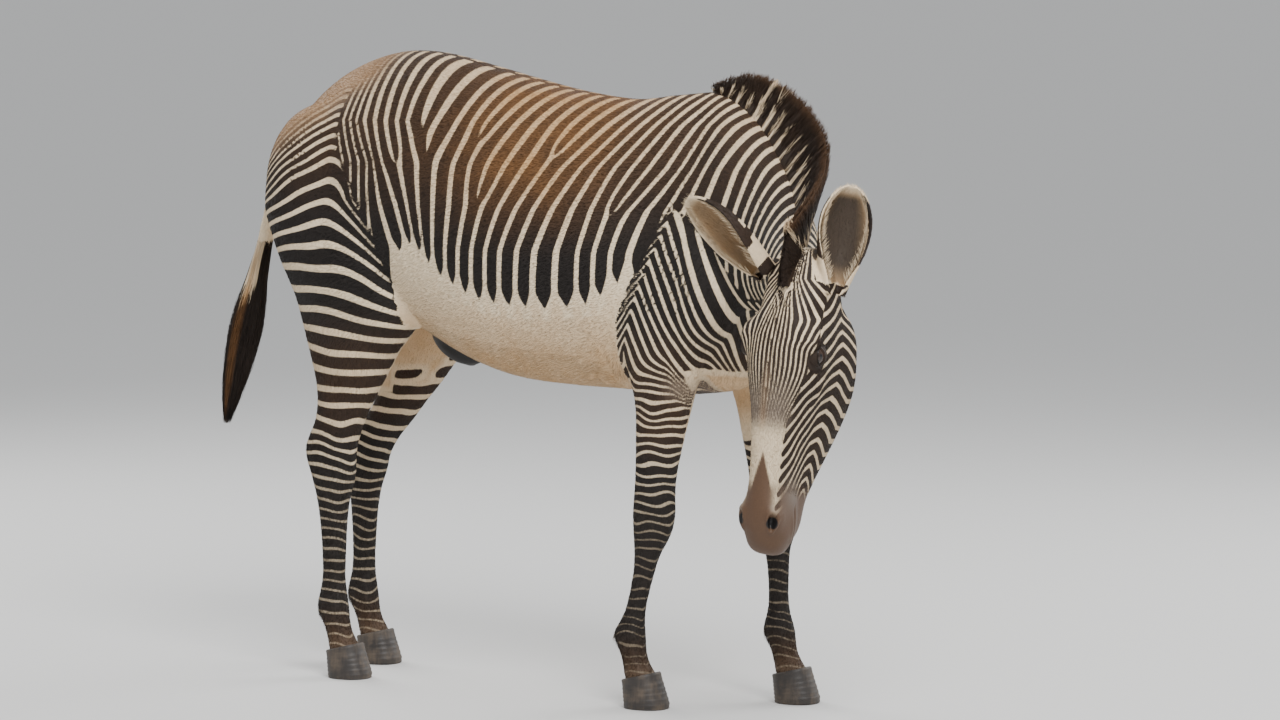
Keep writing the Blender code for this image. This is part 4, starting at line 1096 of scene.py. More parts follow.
# ---------------------------------------------------------------- ears
@dataclass(frozen=True)
class Ear:
    """One cupped ear, with its place, its run and the way its opening faces."""

    base: Row
    axis: Row
    opening: Row
    cup_edge: float                 # share of the reach past which the dark rim inside starts
    # painted shade in the ear's cup; the left ear's is deeper
    cup_shade: float                    # how dark the inside is
    length: float = 0.250
    wall: float = 0.0042
    # along, half width, how far round the rim comes in degrees
    shape: tuple[Row, ...] = ((0.00, 0.028, 165), (0.14, 0.036, 150), (0.32, 0.048, 125), (0.52, 0.056, 106),
                              (0.70, 0.055, 95), (0.84, 0.044, 88), (0.94, 0.028, 82), (0.992, 0.010, 75))

    def axes(self) -> tuple[Vector, Vector, Vector]:
        """Side, opening and run of the ear."""
        axis = Vector(self.axis).normalized()
        opening = Vector(self.opening)
        opening = (opening - axis * opening.dot(axis)).normalized()
        return axis.cross(opening), opening, axis

    def place(self, points: Array) -> tuple[Array, Array, Array]:
        """Share along the ear, angle round it from its back's middle in degrees, and distance off its run."""
        side, opening, run = ((points - BODY.head_spot(*self.base)) @ rows_of(self.axes()).T).T
        return run / self.length, np.degrees(np.arctan2(side, -opening)), np.hypot(side, opening)

    def outward(self, points: Array) -> Array:
        """Direction away from the ear's run."""
        side, opening, _ = rows_of(self.axes())
        angle = np.radians(self.place(points)[1])[:, None]
        return side * np.sin(angle) - opening * np.cos(angle)

    def measure(self, run: Array | float, column: int) -> Array:
        """Half width (column 1) or reach of the rim (column 2) at a share of the way along."""
        return np.interp(run, [row[0] for row in self.shape], [row[column] for row in self.shape])

    def depth(self, run: Array | float) -> Array | float:
        """Depth of the cup as a share of its half width."""
        return 0.85 - 0.25 * run

    def holds(self, points: Array) -> Array:
        """Whether points belong to this ear."""
        run, _, off = self.place(points)
        return (run > 0.10) & (run < 1.05) & (off < self.measure(run, 1) + 0.014)

    def mesh(self) -> bpy.types.Mesh:
        """The ear as a closed wall with a soft rim."""
        side, opening, axis = self.axes()
        base = BODY.head_point(*self.base)
        bm = bmesh.new()
        rows = []
        for run, radius, reach in smooth_rows(self.shape, 4):
            row = []
            for k in range(-14, 15):
                angle = math.radians(reach) * k / 14
                flare = 1 + 0.10 * (abs(k) / 14) ** 6
                deep = radius * self.depth(run) + 0.0012 * math.sin(angle * 5) * (1 - run)
                point = base + axis * run * self.length
                point += side * radius * flare * math.sin(angle) - opening * deep * math.cos(angle)
                row.append(bm.verts.new(point))
            rows.append(row)
        for first, second in zip(rows, rows[1:]):
            for i in range(len(first) - 1):
                bm.faces.new((first[i], first[i + 1], second[i + 1], second[i]))
        data = bpy.data.meshes.new("ear_wall")
        bm.to_mesh(data)
        bm.free()
        piece = object_of("ear_wall", data)
        wall = piece.modifiers.new("wall", "SOLIDIFY")
        wall.thickness = self.wall
        wall.offset = 0.0
        soften = piece.modifiers.new("soften", "SMOOTH")
        soften.factor = 0.5
        soften.iterations = 2
        apply_all(piece)
        made = piece.data
        bpy.data.objects.remove(piece)
        bm = bmesh.new()
        bm.from_mesh(made)
        bmesh.ops.triangulate(bm, faces=bm.faces[:])
        bpy.data.meshes.remove(made)
        return mesh_of("ear", bm)


# the left ear's cup is painted in deeper shade than the right ear's
EARS = (Ear((-0.082, 0.010, 0.036), (-0.416, 0.618, 0.667), (-0.80, 0.107, -0.60), cup_edge=0.66, cup_shade=0.30),
        Ear((0.080, -0.016, 0.064), (0.10, -0.15, 0.98), (-0.70, -0.71, 0.0), cup_edge=0.88, cup_shade=0.74))
# share along the ear, and depth inside the pale bands across its back
EAR_BANDS = ((0.0, 0.02), (0.30, 0.012), (0.36, -0.008), (0.42, -0.008), (0.47, 0.006), (0.54, 0.006),
             (0.60, -0.015), (0.84, -0.015), (0.89, 0.006), (1, 0.02))


def join_ears(skin: bpy.types.Object) -> None:
    """Make the ears one with the skin and soften the line where they meet it."""
    for ear in EARS:
        tool = object_of("ear_tool", ear.mesh())
        union = skin.modifiers.new("join", "BOOLEAN")
        union.operation = "UNION"
        union.solver = "EXACT"
        union.object = tool
        apply_all(skin)
        bpy.data.objects.remove(tool)
    bm = bmesh.new()
    bm.from_mesh(skin.data)
    bmesh.ops.remove_doubles(bm, verts=bm.verts, dist=0.0003)
    points = np.array([tuple(v.co) for v in bm.verts])
    near = np.zeros(len(points), bool)
    for ear in EARS:
        run, _, off = ear.place(points)
        near |= (run > 0.02) & (run < 0.34) & (off < 0.066)
    relax(bm, [v for v, chosen in zip(bm.verts, near) if chosen], 0.4, 5)
    bm.to_mesh(skin.data)
    bm.free()


def ear_paint(points: Array, normals: Array, paint: Paint) -> Paint:
    """Overwrite the markings where points lie on an ear."""
    for number, ear in enumerate(EARS):
        on = ear.holds(points)
        if not on.any():
            continue
        run, angle, _ = ear.place(points[on])
        inner = np.sum(normals[on] * ear.outward(points[on]), axis=1) < -0.1
        rim = np.abs(angle) / ear.measure(run, 2)
        bands = knots(run + 0.02 * wander(points[on], 0.03, 71 + number), *EAR_BANDS)
        edge = np.where(angle > 0, 0.70, 0.88)
        bands = np.where((rim > edge) & (run > 0.30) & (run < 0.86), np.minimum(bands, -0.010), bands)
        cup = np.where((rim > ear.cup_edge) & (angle > 0) & (run > 0.25) & (run < 0.93), -0.02, 0.015)
        paint.white[on] = np.where(inner, cup, bands)
        deep = ramp(rim, 0.97, 0.70) * ramp(run, 0.99, 0.86)
        paint.rust_and_shade[on] = np.where(inner, 0.95 * deep, 0.15)
        # painted shade in the cup, darkest at its bottom and deeper in the left ear
        cup_shade = ear.cup_shade + 0.25 * ramp(rim, 0.90, 0.45)
        paint.grey[on] = np.where(inner, cup_shade * deep * ramp(run, -0.1, 0.3), 0.05)
        paint.bare[on] = 0.0
        paint.haze[on] = 0.0
    return paint


# ---------------------------------------------------------------- coat
@dataclass
class Roots:
    """Places where hair stands: points, skin normals, places on the unwrap, and markings."""

    points: Array
    normals: Array
    unwrap: Array

    def pick(self, chosen: Array) -> "Roots":
        """Only the chosen roots."""
        return Roots(self.points[chosen], self.normals[chosen], self.unwrap[chosen])


class Ground:
    """A triangulated mesh on which roots are scattered."""

    def __init__(self, mesh: bpy.types.Mesh) -> None:
        """Read corners, normals and unwrap of a mesh."""
        count = len(mesh.polygons)
        corners = np.empty(count * 3, np.int32)
        mesh.polygons.foreach_get("vertices", corners)
        corners = corners.reshape(-1, 3)
        self.corners = coordinates(mesh)[corners]
        self.normals = normals_of(mesh)[corners]
        unwrap = np.empty(count * 6, np.float32)
        mesh.uv_layers["OFBake"].data.foreach_get("uv", unwrap)
        self.unwrap = unwrap.reshape(-1, 3, 2).astype(float)
        edges = np.cross(self.corners[:, 1] - self.corners[:, 0], self.corners[:, 2] - self.corners[:, 0])
        self.areas = np.linalg.norm(edges, axis=1) / 2
        self.middles = self.corners.mean(axis=1)

    def scatter(self, density: Array, seed: int) -> Roots:
        """Roots at random places.

        Args:
            density: roots per square metre on each triangle.
            seed: random seed.

        Returns:
            The roots.
        """
        rng = np.random.default_rng(seed)
        wanted = self.areas * density
        counts = np.floor(wanted + rng.random(len(wanted))).astype(int)
        faces = np.repeat(np.arange(len(counts)), counts)
        a, b = rng.random(len(faces)), rng.random(len(faces))
        flip = a + b > 1
        a[flip], b[flip] = 1 - a[flip], 1 - b[flip]
        weights = np.stack([1 - a - b, a, b], axis=1)[:, :, None]
        points, normals, spots = ((table[faces] * weights).sum(axis=1)
                                  for table in (self.corners, self.normals, self.unwrap))
        return Roots(points, unit(normals), spots)


def closed_mesh(name: str, verts: Array, faces: Array, unwrap: Array) -> bpy.types.Mesh:
    """A mesh of triangles from arrays, with the unwrap given per vertex."""
    mesh = bpy.data.meshes.new(name)
    mesh.vertices.add(len(verts))
    mesh.vertices.foreach_set("co", verts.astype(np.float32).ravel())
    mesh.loops.add(len(faces) * 3)
    mesh.loops.foreach_set("vertex_index", faces.astype(np.int32).ravel())
    mesh.polygons.add(len(faces))
    mesh.polygons.foreach_set("loop_start", np.arange(0, len(faces) * 3, 3, dtype=np.int32))
    layer = mesh.uv_layers.new(name="OFBake")
    layer.data.foreach_set("uv", unwrap[faces.ravel()].astype(np.float32).ravel())
    mesh.update(calc_edges=True)
    mesh.shade_smooth()
    return mesh


# corners of a tuft's patch on the unwrap
PATCH = np.array([(-0.0014, -0.0014), (0.0014, -0.0014), (0.0, 0.0014), (0.0, 0.0)])


def tuft_mesh(name: str, roots: Roots, flow: Array, length: Array, width: Array, lift: Array,
              paints: tuple[Paint, Paint], seed: int) -> bpy.types.Mesh:
    """Thin closed tufts of four faces that lie along the flow.

    Args:
        name: name of the mesh.
        roots: where they stand.
        flow: N x 3 unit directions along the skin.
        length: N lengths.
        width: N widths.
        lift: N heights of the tips over the skin.
        paints: markings at the roots and at the tips.
        seed: random seed.

    Returns:
        The mesh, with its markings and tone.
    """
    rng = np.random.default_rng(seed)
    side = np.cross(roots.normals, flow)
    low = roots.points - roots.normals * 0.0005
    half = side * (width / 2)[:, None]
    top = roots.points + roots.normals * (width * 0.30)[:, None] + flow * (length * 0.12)[:, None]
    tip = roots.points + flow * length[:, None] + roots.normals * lift[:, None]
    verts = np.stack([low + half, low - half, top, tip], axis=1).reshape(-1, 3)
    one = np.array([(0, 3, 1), (0, 2, 3), (1, 3, 2), (0, 1, 2)])
    count = len(roots.points)
    faces = (np.arange(count)[:, None, None] * 4 + one[None]).reshape(-1, 3)
    unwrap = (roots.unwrap[:, None, :] + PATCH[None]).reshape(-1, 2)
    mesh = closed_mesh(name, verts, faces, unwrap)
    share = np.array([0.0, 0.0, 0.12, 1.0])
    near, far = (vars(paint) for paint in paints)
    store_marks(mesh, {key: blend(near[key][:, None], far[key][:, None], share) for key in near})
    store(mesh, "tone", np.repeat(rng.uniform(0, 1, count), 4))
    return mesh


def strand_mesh(name: str, paths: Array, sides: Array, ups: Array, width: Array, unwrap: Array,
                values: dict[str, Array], seed: int) -> bpy.types.Mesh:
    """Long three-sided closed strands along paths.

    Args:
        name: name of the mesh.
        paths: N x 4 x 3 points from root to tip.
        sides: N x 3 directions across the strands.
        ups: N x 3 directions through the strands.
        width: N widths at the root.
        unwrap: N x 2 places of the roots.
        values: marking name to N x 4 values along the strands.
        seed: random seed.

    Returns:
        The mesh.
    """
    rng = np.random.default_rng(seed)
    count = len(paths)
    taper = np.array([1.0, 0.95, 0.62])
    corner = np.array([(0.5, -0.25), (-0.5, -0.25), (0.0, 0.35)])
    rings = []
    for k in range(3):
        for across_share, up_share in corner:
            size = (width * taper[k])[:, None]
            rings.append(paths[:, k] + sides * size * across_share + ups * size * up_share)
    rings.append(paths[:, 3])
    verts = np.stack(rings, axis=1).reshape(-1, 3)
    one = [(0, 1, 2)]
    for k in range(2):
        for i in range(3):
            j = (i + 1) % 3
            a, b, c, d = 3 * k + i, 3 * k + j, 3 * k + 3 + j, 3 * k + 3 + i
            one += [(a, c, b), (a, d, c)]
    for i in range(3):
        one.append((6 + i, 9, 6 + (i + 1) % 3))
    faces = (np.arange(count)[:, None, None] * 10 + np.array(one)[None]).reshape(-1, 3)
    level = np.array([0, 0, 0, 1, 1, 1, 2, 2, 2, 3])
    spot = np.array([(math.cos(i * 2.1) * 0.0013, math.sin(i * 2.1) * 0.0013) for i in range(10)])
    mesh = closed_mesh(name, verts, faces, (unwrap[:, None, :] + spot[None]).reshape(-1, 2))
    store_marks(mesh, {key: amounts[:, level] for key, amounts in values.items()})
    store(mesh, "tone", np.repeat(rng.uniform(0, 1, count), 10))
    bm = bmesh.new()
    bm.from_mesh(mesh)
    if bm.calc_volume(signed=True) < 0:
        bmesh.ops.reverse_faces(bm, faces=bm.faces[:])
        bm.to_mesh(mesh)
    bm.free()
    return mesh


@dataclass
class Coat:
    """Short tufts all over the skin, in pieces by part of the body."""

    seed: int = 5
    body_density: float = 50000.0           # tufts per square metre
    leg_density: float = 75000.0
    head_density: float = 125000.0
    limit: int = 49500                      # tufts in one piece
    legs_top: float = 0.72
    # parts of each side, with the y where each starts and ends
    parts: tuple[tuple[str, float, float], ...] = (("shoulder", -0.55, -0.15), ("barrel", -0.15, 0.33),
                                                   ("quarter", 0.33, math.inf))
    # lengths of the tufts on body, legs, feet, head and belly, and what the fetlocks have more
    on_body: float = 0.0130
    on_legs: float = 0.0095
    on_feet: float = 0.0085
    on_head: float = 0.0078
    on_belly: float = 0.019
    on_fetlock: float = 0.014
    pieces: list[bpy.types.Object] = field(default_factory=list, init=False)

    def lie(self, points: Array, normals: Array) -> Array:
        """The way the hair lies: back along the barrel, down the legs and the face, up the ears."""
        y, z = points[:, 1], points[:, 2]
        flow = np.tile(np.array([0.0, 1.0, -0.30]), (len(points), 1))
        rump = ramp(y, 0.45, 0.66)
        chest = ramp(y, -0.46, -0.60) * ramp(z, 1.30, 1.10)
        leg = ramp(z, 0.98, 0.76) * np.where(np.abs(y) > 0.30, 1.0, 0.0)
        for share, back in ((rump, 0.35), (chest, 0.25), (leg, 0.12)):
            flow = blend(flow, np.array([0.0, back, -1.0]), share[:, None])
        neck = ramp(y, -0.50, -0.66) * ramp(z, 0.98, 1.12)
        chosen = neck > 0
        if chosen.any():
            t, _, _ = MARKINGS.neck_place(points[chosen])
            frames = BODY.neck_frames()
            steps = np.arange(len(frames))
            back = np.stack([np.interp(t, steps, [-f[1][k] - 0.45 * f[3][k] for f in frames])
                             for k in range(3)], axis=1)
            flow[chosen] = blend(flow[chosen], back, neck[chosen][:, None])
        left, front, down = rows_of(BODY.head_axes())
        head = MARKINGS.is_head(points)
        local = BODY.head_local(points)
        face = (down + left * np.clip(local[:, :1] * 4, -0.5, 0.5)
                - front * ramp(local[:, 1:2], 0.05, -0.06) * 0.7)
        flow = np.where(head[:, None], face, flow)
        for ear in EARS:
            flow = np.where(ear.holds(points)[:, None], rows_of(ear.axes())[2], flow)
        flow += 0.13 * np.stack([wander(points, 0.05, 81 + k) for k in range(3)], axis=1)
        return across(flow, normals)

    def build(self, skin: bpy.types.Object) -> None:
        """Scatter, lay and colour the tufts."""
        ground = Ground(skin.data)
        middles = ground.middles
        head = MARKINGS.is_head(middles)
        z = middles[:, 2]
        density = np.where(head, self.head_density, self.body_density)
        density = np.where(~head & (z < self.legs_top), self.leg_density, density)
        naked = MARKINGS.paint(middles, unit(ground.normals.mean(axis=1))).bare
        density = np.where(head, density * ramp(naked, 0.9, 0.2), density)
        pits = [BODY.head_spot(side * Skin.nostril[0], *Skin.nostril[1:]) for side in (1, -1)]
        density = np.where(nearest(middles, BODY.eyes()) < BODY.eye_radius + 0.0065, 0, density)
        density = np.where(nearest(middles, pits) < 0.016, 0, density)
        sheath = (middles - np.array([0, 0.250, 0.828])) / np.array([0.05, 0.088, 0.052])
        density = np.where(np.linalg.norm(sheath, axis=1) < 1, 0, density)
        roots = ground.scatter(density, self.seed)
        for name, chosen in self.regions(roots.points):
            self.piece(name, roots.pick(chosen))

    def regions(self, points: Array) -> list[tuple[str, Array]]:
        """Names of the coat's pieces and the roots that each one takes."""
        x, y, z = points.T
        head = MARKINGS.is_head(points)
        for ear in EARS:
            head |= ear.holds(points)
        legs = ~head & (z < self.legs_top)
        rest = ~head & ~legs
        found = [("coat_head", head), ("coat_neck", rest & (y < self.parts[0][1]))]
        for side, mask in (("left", x >= 0), ("right", x < 0)):
            for part, start, end in self.parts:
                found.append((f"coat_{part}_{side}", rest & mask & (y >= start) & (y < end)))
        found.append(("coat_forelegs", legs & (y < 0)))
        found.append(("coat_hindlegs", legs & (y >= 0)))
        return found

    def piece(self, name: str, roots: Roots) -> None:
        """One piece of coat."""
        rng = np.random.default_rng(self.seed + len(self.pieces))
        count = len(roots.points)
        if count > self.limit:
            LOG.warning("%s has %d tufts", name, count)
            roots = roots.pick(rng.permutation(count)[:self.limit])
            count = self.limit
        points = roots.points
        head = MARKINGS.is_head(points)
        local = BODY.head_local(points)
        z = points[:, 2]
        length = np.where(z < self.legs_top, self.on_legs, self.on_body)
        haunch = ramp(points[:, 1], 0.40, 0.52) * ramp(z, 1.04, 1.12)
        shoulder = bell(points[:, 1], -0.44, 0.11) * ramp(z, 1.25, 1.15)
        length = length * (1 - 0.36 * np.maximum(haunch, shoulder))
        length = np.where(z < 0.30, self.on_feet, length)
        length = np.where(head, self.on_head - 0.0030 * ramp(local[:, 2], 0.48, 0.58), length)
        belly = (np.abs(points[:, 1]) < 0.36) & (roots.normals[:, 2] < -0.6) & (z > 0.6)
        length = np.where(belly, self.on_belly, length)
        fetlock = ramp(z, 0.20, 0.17) * ramp(z, 0.10, 0.13) * ramp(roots.normals[:, 1], 0.2, 0.7)
        length = length + self.on_fetlock * fetlock
        length *= rng.uniform(0.75, 1.2, count)
        width = np.where(head, 0.0011, 0.0015) * rng.uniform(0.8, 1.25, count)
        lift = length * rng.uniform(0.03, 0.15, count) + 0.0003
        flow = self.lie(points, roots.normals)
        near, far = (full_paint(points + flow * (length * share)[:, None], roots.normals)
                     for share in (0.15, 0.75))
        mesh = tuft_mesh(name, roots, flow, length, width, lift, (near, far), self.seed)
        self.pieces.append(object_of(name, mesh))
        LOG.info("%s: %d triangles", name, len(mesh.polygons))


def ear_fringe(each: int = 520, seed: int = 47) -> bpy.types.Object:
    """Pale hairs that stand along the rims of the ears and lean over their openings."""
    rng = np.random.default_rng(seed)
    paths, sides, ups, spots = [], [], [], []
    for number, ear in enumerate(EARS):
        side, opening, axis = rows_of(ear.axes())
        for _ in range(each):
            run = rng.uniform(0.10, 0.93)
            share = rng.uniform(0.80, 0.97) * (1 if rng.random() < 0.5 else -1)
            angle = math.radians(float(ear.measure(run, 2)) * share)
            out = side * math.sin(angle) - opening * math.cos(angle)
            within = float(ear.measure(run, 1)) - 0.0025
            root = (BODY.head_spot(*ear.base) + axis * run * ear.length + side * within * math.sin(angle)
                    - opening * within * ear.depth(run) * math.cos(angle))
            length = rng.uniform(0.012, 0.026) * (1 - 0.4 * run)
            lean = axis * rng.uniform(0.5, 1.0) - out * rng.uniform(0.25, 0.7) + opening * 0.35
            lean = unit(lean[None])[0]
            paths.append([root + lean * length * k + axis * 0.2 * length * k * k
                          for k in (0, 0.4, 0.75, 1.0)])
            sides.append(unit(np.cross(lean, out)[None])[0])
            ups.append(out)
            spots.append((rng.uniform(0.02, 0.98), 0.02 + 0.45 * rng.random() + 0.5 * number))
    count = len(paths)
    values = hair_marks(np.full((count, 4), 0.02), np.full((count, 4), 0.15), 0.10)
    mesh = strand_mesh("ear_fringe", np.array(paths), np.array(sides), np.array(ups),
                       rng.uniform(0.0006, 0.0010, count), np.array(spots), values, seed)
    return object_of("ear_fringe", mesh)


def full_paint(points: Array, normals: Array) -> Paint:
    """Markings of body, head, ears and sheath together."""
    paint = ear_paint(points, normals, MARKINGS.paint(points, normals))
    sheath = np.linalg.norm((points - np.array([0, 0.250, 0.830])) / np.array([0.046, 0.086, 0.052]), axis=1)
    dark = ramp(sheath, 1.12, 0.98) * (points[:, 2] < 0.88)
    paint.bare = np.maximum(paint.bare, dark)
    paint.grey = np.where(dark > 0, np.maximum(paint.grey, dark), paint.grey)
    return paint


# ---------------------------------------------------------------- mane
@dataclass
class Mane:
    """The upright brush along the crest and the forelock between the ears."""

    count: int = 11500
    inset: float = 0.007
    # forward, drop, height and turn of the forelock's sections on the head
    forelock: tuple[Row, ...] = ((0.020, -0.022, 0.085, 0.75), (0.040, 0.002, 0.052, 0.95),
                                 (0.058, 0.030, 0.030, 1.2), (0.070, 0.054, 0.010, 1.35))
    forelock_sections: int = 20             # of the smoothed sections, this many from the end
    half: float = 0.019
    round: int = 20                         # points in each section of the inner body
    pieces: list[bpy.types.Object] = field(default_factory=list, init=False)

    def sections(self) -> list[tuple[Array, Array, Array, float, float]]:
        """Base point, side, up, height and half width along the mane, from the withers to the brow."""
        rows: list[Row] = []
        frames = BODY.neck_frames()[4::3]
        for i, (crest, _, side, up, _, _) in enumerate(frames):
            t = i / (len(frames) - 1)
            height = 0.034 + 0.122 * math.sin(min(t * 2.8, math.pi / 2)) - 0.020 * t
            rows.append((*crest, *side, *up, height * (0.45 if i == 0 else 1.0), self.half))
        left, front, down = BODY.head_axes()
        for forward, drop, height, turn in self.forelock:
            up = front * math.sin(turn) - down * math.cos(turn)
            rows.append((*BODY.head_point(0, forward, drop), *left, *up, height, self.half * 0.75))
        found = []
        for row in smooth_rows(tuple(rows), 6):
            values = np.array(row)
            side, up = unit(values[3:9].reshape(2, 3))
            found.append((values[:3], side, up, row[9], row[10]))
        return found

    def paint(self, spots: Array, sides: Array, share_up: Array, late: Array) -> dict[str, Array]:
        """Markings of the mane: the neck's stripes with dark tips, and a dark forelock.

        Args:
            spots: N x 3 points at the foot of the hair.
            sides: N x 3 directions across the mane.
            share_up: N x K heights as a share of the mane's height there.
            late: N shares, 1 in the forelock.

        Returns:
            Marking name to N x K values.
        """
        base = MARKINGS.stripes(MARKINGS.barrel_count, spots, sides, np.full(len(spots), 0.34))
        base = np.where(late > 0.5, -0.010, base)
        tips = ramp(share_up, 0.18, 0.80)
        white = np.clip(base[:, None] - 0.0075 * tips, -0.02, 0.02)
        return hair_marks(white, 0.12 + 0.38 * ramp(share_up, 0.75, 1.0) * (1 - late[:, None]))

    def build(self) -> None:
        """The inner body of the mane and its hair."""
        sections = self.sections()
        rings = []
        for base, side, up, height, half in sections:
            tall = max(height - self.inset - 0.004, 0.004)
            rings.append(ring(Vector(base - up * 0.02), Vector(side), Vector(up), half - 0.005, tall + 0.02,
                              0.014, 1.8, self.round))
        core = core_of("mane_core", rings)
        mesh = core.data
        points = coordinates(mesh)
        bases = np.array([s[0] for s in sections])
        owner = np.repeat(np.arange(len(sections)), self.round)
        ups = np.array([s[2] for s in sections])[owner]
        sides = np.array([s[1] for s in sections])[owner]
        heights = np.array([s[3] for s in sections])[owner]
        rise = np.sum((points - bases[owner]) * ups, axis=1) / np.maximum(heights, 0.01)
        late = (owner > len(sections) - self.forelock_sections).astype(float)
        store_marks(mesh, self.paint(bases[owner] - ups * 0.012, sides, rise[:, None], late))
        store(mesh, "tone", np.full(len(points), 0.2))
        lay_out(core, 0.004)
        self.pieces.append(core)
        LOG.info("mane core: %d triangles", len(mesh.polygons))
        self.hair(sections)

    def hair(self, sections: list) -> None:
        """Strands over both faces and the top of the mane."""
        rng = np.random.default_rng(17)
        count = self.count
        spot = rng.uniform(0, len(sections) - 1.001, count)
        steps = np.arange(len(sections))
        table = np.array([np.concatenate([s[0], s[1], s[2], [s[3], s[4]]]) for s in sections])
        rows = np.stack([np.interp(spot, steps, table[:, k]) for k in range(table.shape[1])], axis=1)
        base, side, up = rows[:, :3], unit(rows[:, 3:6]), unit(rows[:, 6:9])
        height, half = rows[:, 9], rows[:, 10]
        along = unit(np.cross(up, side))
        hand = np.where(rng.random(count) < 0.5, 1.0, -1.0)
        start = rng.uniform(-0.10, 0.86, count)
        span = rng.uniform(0.30, 0.55, count)
        jag = 0.035 * np.sin(spot * 5.3 + 1.7 * np.sin(spot * 1.9)) + rng.normal(0, 0.030, count)
        end = np.minimum(start + span, 0.985 + jag)
        start = np.minimum(start, end - 0.18)
        shares = start[:, None] + (end - start)[:, None] * np.array([0, 0.4, 0.75, 1.0])[None]
        flat = np.sqrt(np.clip(1 - np.clip(shares, 0, 1) ** 3.0, 0, 1))
        inner = rng.uniform(0.45, 1.0, count)
        wide = (half - 0.0035)[:, None] * (0.16 + 0.84 * flat) * inner[:, None] * hand[:, None]
        lean = rng.normal(0, 0.006, count)[:, None] * (shares - start[:, None]) * 2.5
        clump = 0.006 * np.sin(spot * 7.0 + 2 * np.sin(spot * 2.3))[:, None] * shares
        paths = (base[:, None] + up[:, None] * (shares * height[:, None])[..., None]
                 + side[:, None] * wide[..., None] + along[:, None] * (lean + clump)[..., None])
        late = (spot > len(sections) - self.forelock_sections).astype(float)
        values = self.paint(base - up * 0.012, side, shares, late)
        places = np.stack([spot / len(sections) * 0.96 + 0.01,
                           0.02 + 0.4 * (start + 0.1) + np.where(hand > 0, 0.5, 0)], axis=1)
        width = rng.uniform(0.0011, 0.0019, count)
        order = np.argsort(spot)
        for number, part in enumerate(np.array_split(order, 2)):
            chosen = {key: amounts[part] for key, amounts in values.items()}
            name = f"mane_hair_{number + 1}"
            mesh = strand_mesh(name, paths[part], along[part], side[part] * hand[part, None], width[part],
                               places[part], chosen, 23 + number)
            self.pieces.append(object_of(name, mesh))
            LOG.info("mane hair: %d triangles", len(mesh.polygons))


# ---------------------------------------------------------------- tail
@dataclass
class Tail:
    """The long hair at the end of the tail."""

    count: int = 5200
    start: int = 10                         # the smoothed section where the long hair starts
    pieces: list[bpy.types.Object] = field(default_factory=list, init=False)

    def build(self) -> None:
        """The core and the strands over it."""
        rows = np.array(smooth_rows(BODY.tail, 2))
        rings = []
        for i in range(self.start, len(rows)):
            half = max(rows[i, 3] * 0.80 - 0.001, 0.002)
            rings.append(ring(Vector(rows[i, :3]), Vector((1, 0, 0)), Vector((0, 1, 0.15)), half, half * 0.8,
                              half * 0.8, 2.0, 18))
        core = core_of("tail_core", rings)
        level = np.full(len(core.data.vertices), 0.2)
        store_marks(core.data, hair_marks(0 * level - MARKINGS.reach, level))
        store(core.data, "tone", level)
        lay_out(core, 0.004)
        self.pieces.append(core)
        self.hair(rows)

    def hair(self, rows: Array) -> None:
        """Strands that hang from the dock and end at many heights."""
        rng = np.random.default_rng(29)
        count = self.count
        last = len(rows) - 1
        begin = rng.uniform(self.start - 2.2, last - 5.0, count)
        end = np.minimum(begin + rng.uniform(4.0, 8.0, count), last - rng.uniform(0, 0.4, count) ** 2)
        turn = rng.uniform(0, 2 * math.pi, count)
        depth = rng.uniform(0.72, 1.06, count)
        steps = np.arange(len(rows))
        paths = np.zeros((count, 4, 3))
        for k, share in enumerate((0.0, 0.4, 0.75, 1.0)):
            s = begin + (end - begin) * share
            centre = np.stack([np.interp(s, steps, rows[:, j]) for j in range(3)], axis=1)
            half = np.interp(s, steps, rows[:, 3]) * np.where(share == 0, 0.80, depth) + 0.003 * share
            wave = turn + 0.10 * math.sin(share * 3)
            round_it = [np.cos(wave) * half, np.sin(wave) * half * 0.85, 0 * half]
            paths[:, k] = centre + np.stack(round_it, axis=1)
            paths[:, k] += rng.normal(0, 0.0022 * share, (count, 3))
        out = np.stack([np.cos(turn), np.sin(turn), 0 * turn], axis=1)
        side = np.stack([-np.sin(turn), np.cos(turn), 0 * turn], axis=1)
        edge = ramp(np.abs(np.cos(turn)), 0.90, 1.0) * ramp(depth, 0.88, 1.02)
        pale = ramp(begin, self.start + 1.0, self.start - 1.5) * ramp(np.abs(np.cos(turn)), 0.55, 0.9)
        white = -0.010 + 0.018 * pale[:, None] * np.array([1, 0.7, 0.2, 0])[None]
        rust_and_shade = np.clip(0.05 + 0.95 * edge[:, None] * np.array([0.5, 0.9, 1, 1])[None], 0, 1)
        places = np.stack([turn / (2 * math.pi) * 0.96 + 0.01, begin / last * 0.96 + 0.01], axis=1)
        mesh = strand_mesh("tail_hair", paths, side, out, rng.uniform(0.0011, 0.0019, count), places,
                           hair_marks(white, rust_and_shade), 31)
        self.pieces.append(object_of("tail_hair", mesh))
        LOG.info("tail hair: %d triangles", len(mesh.polygons))


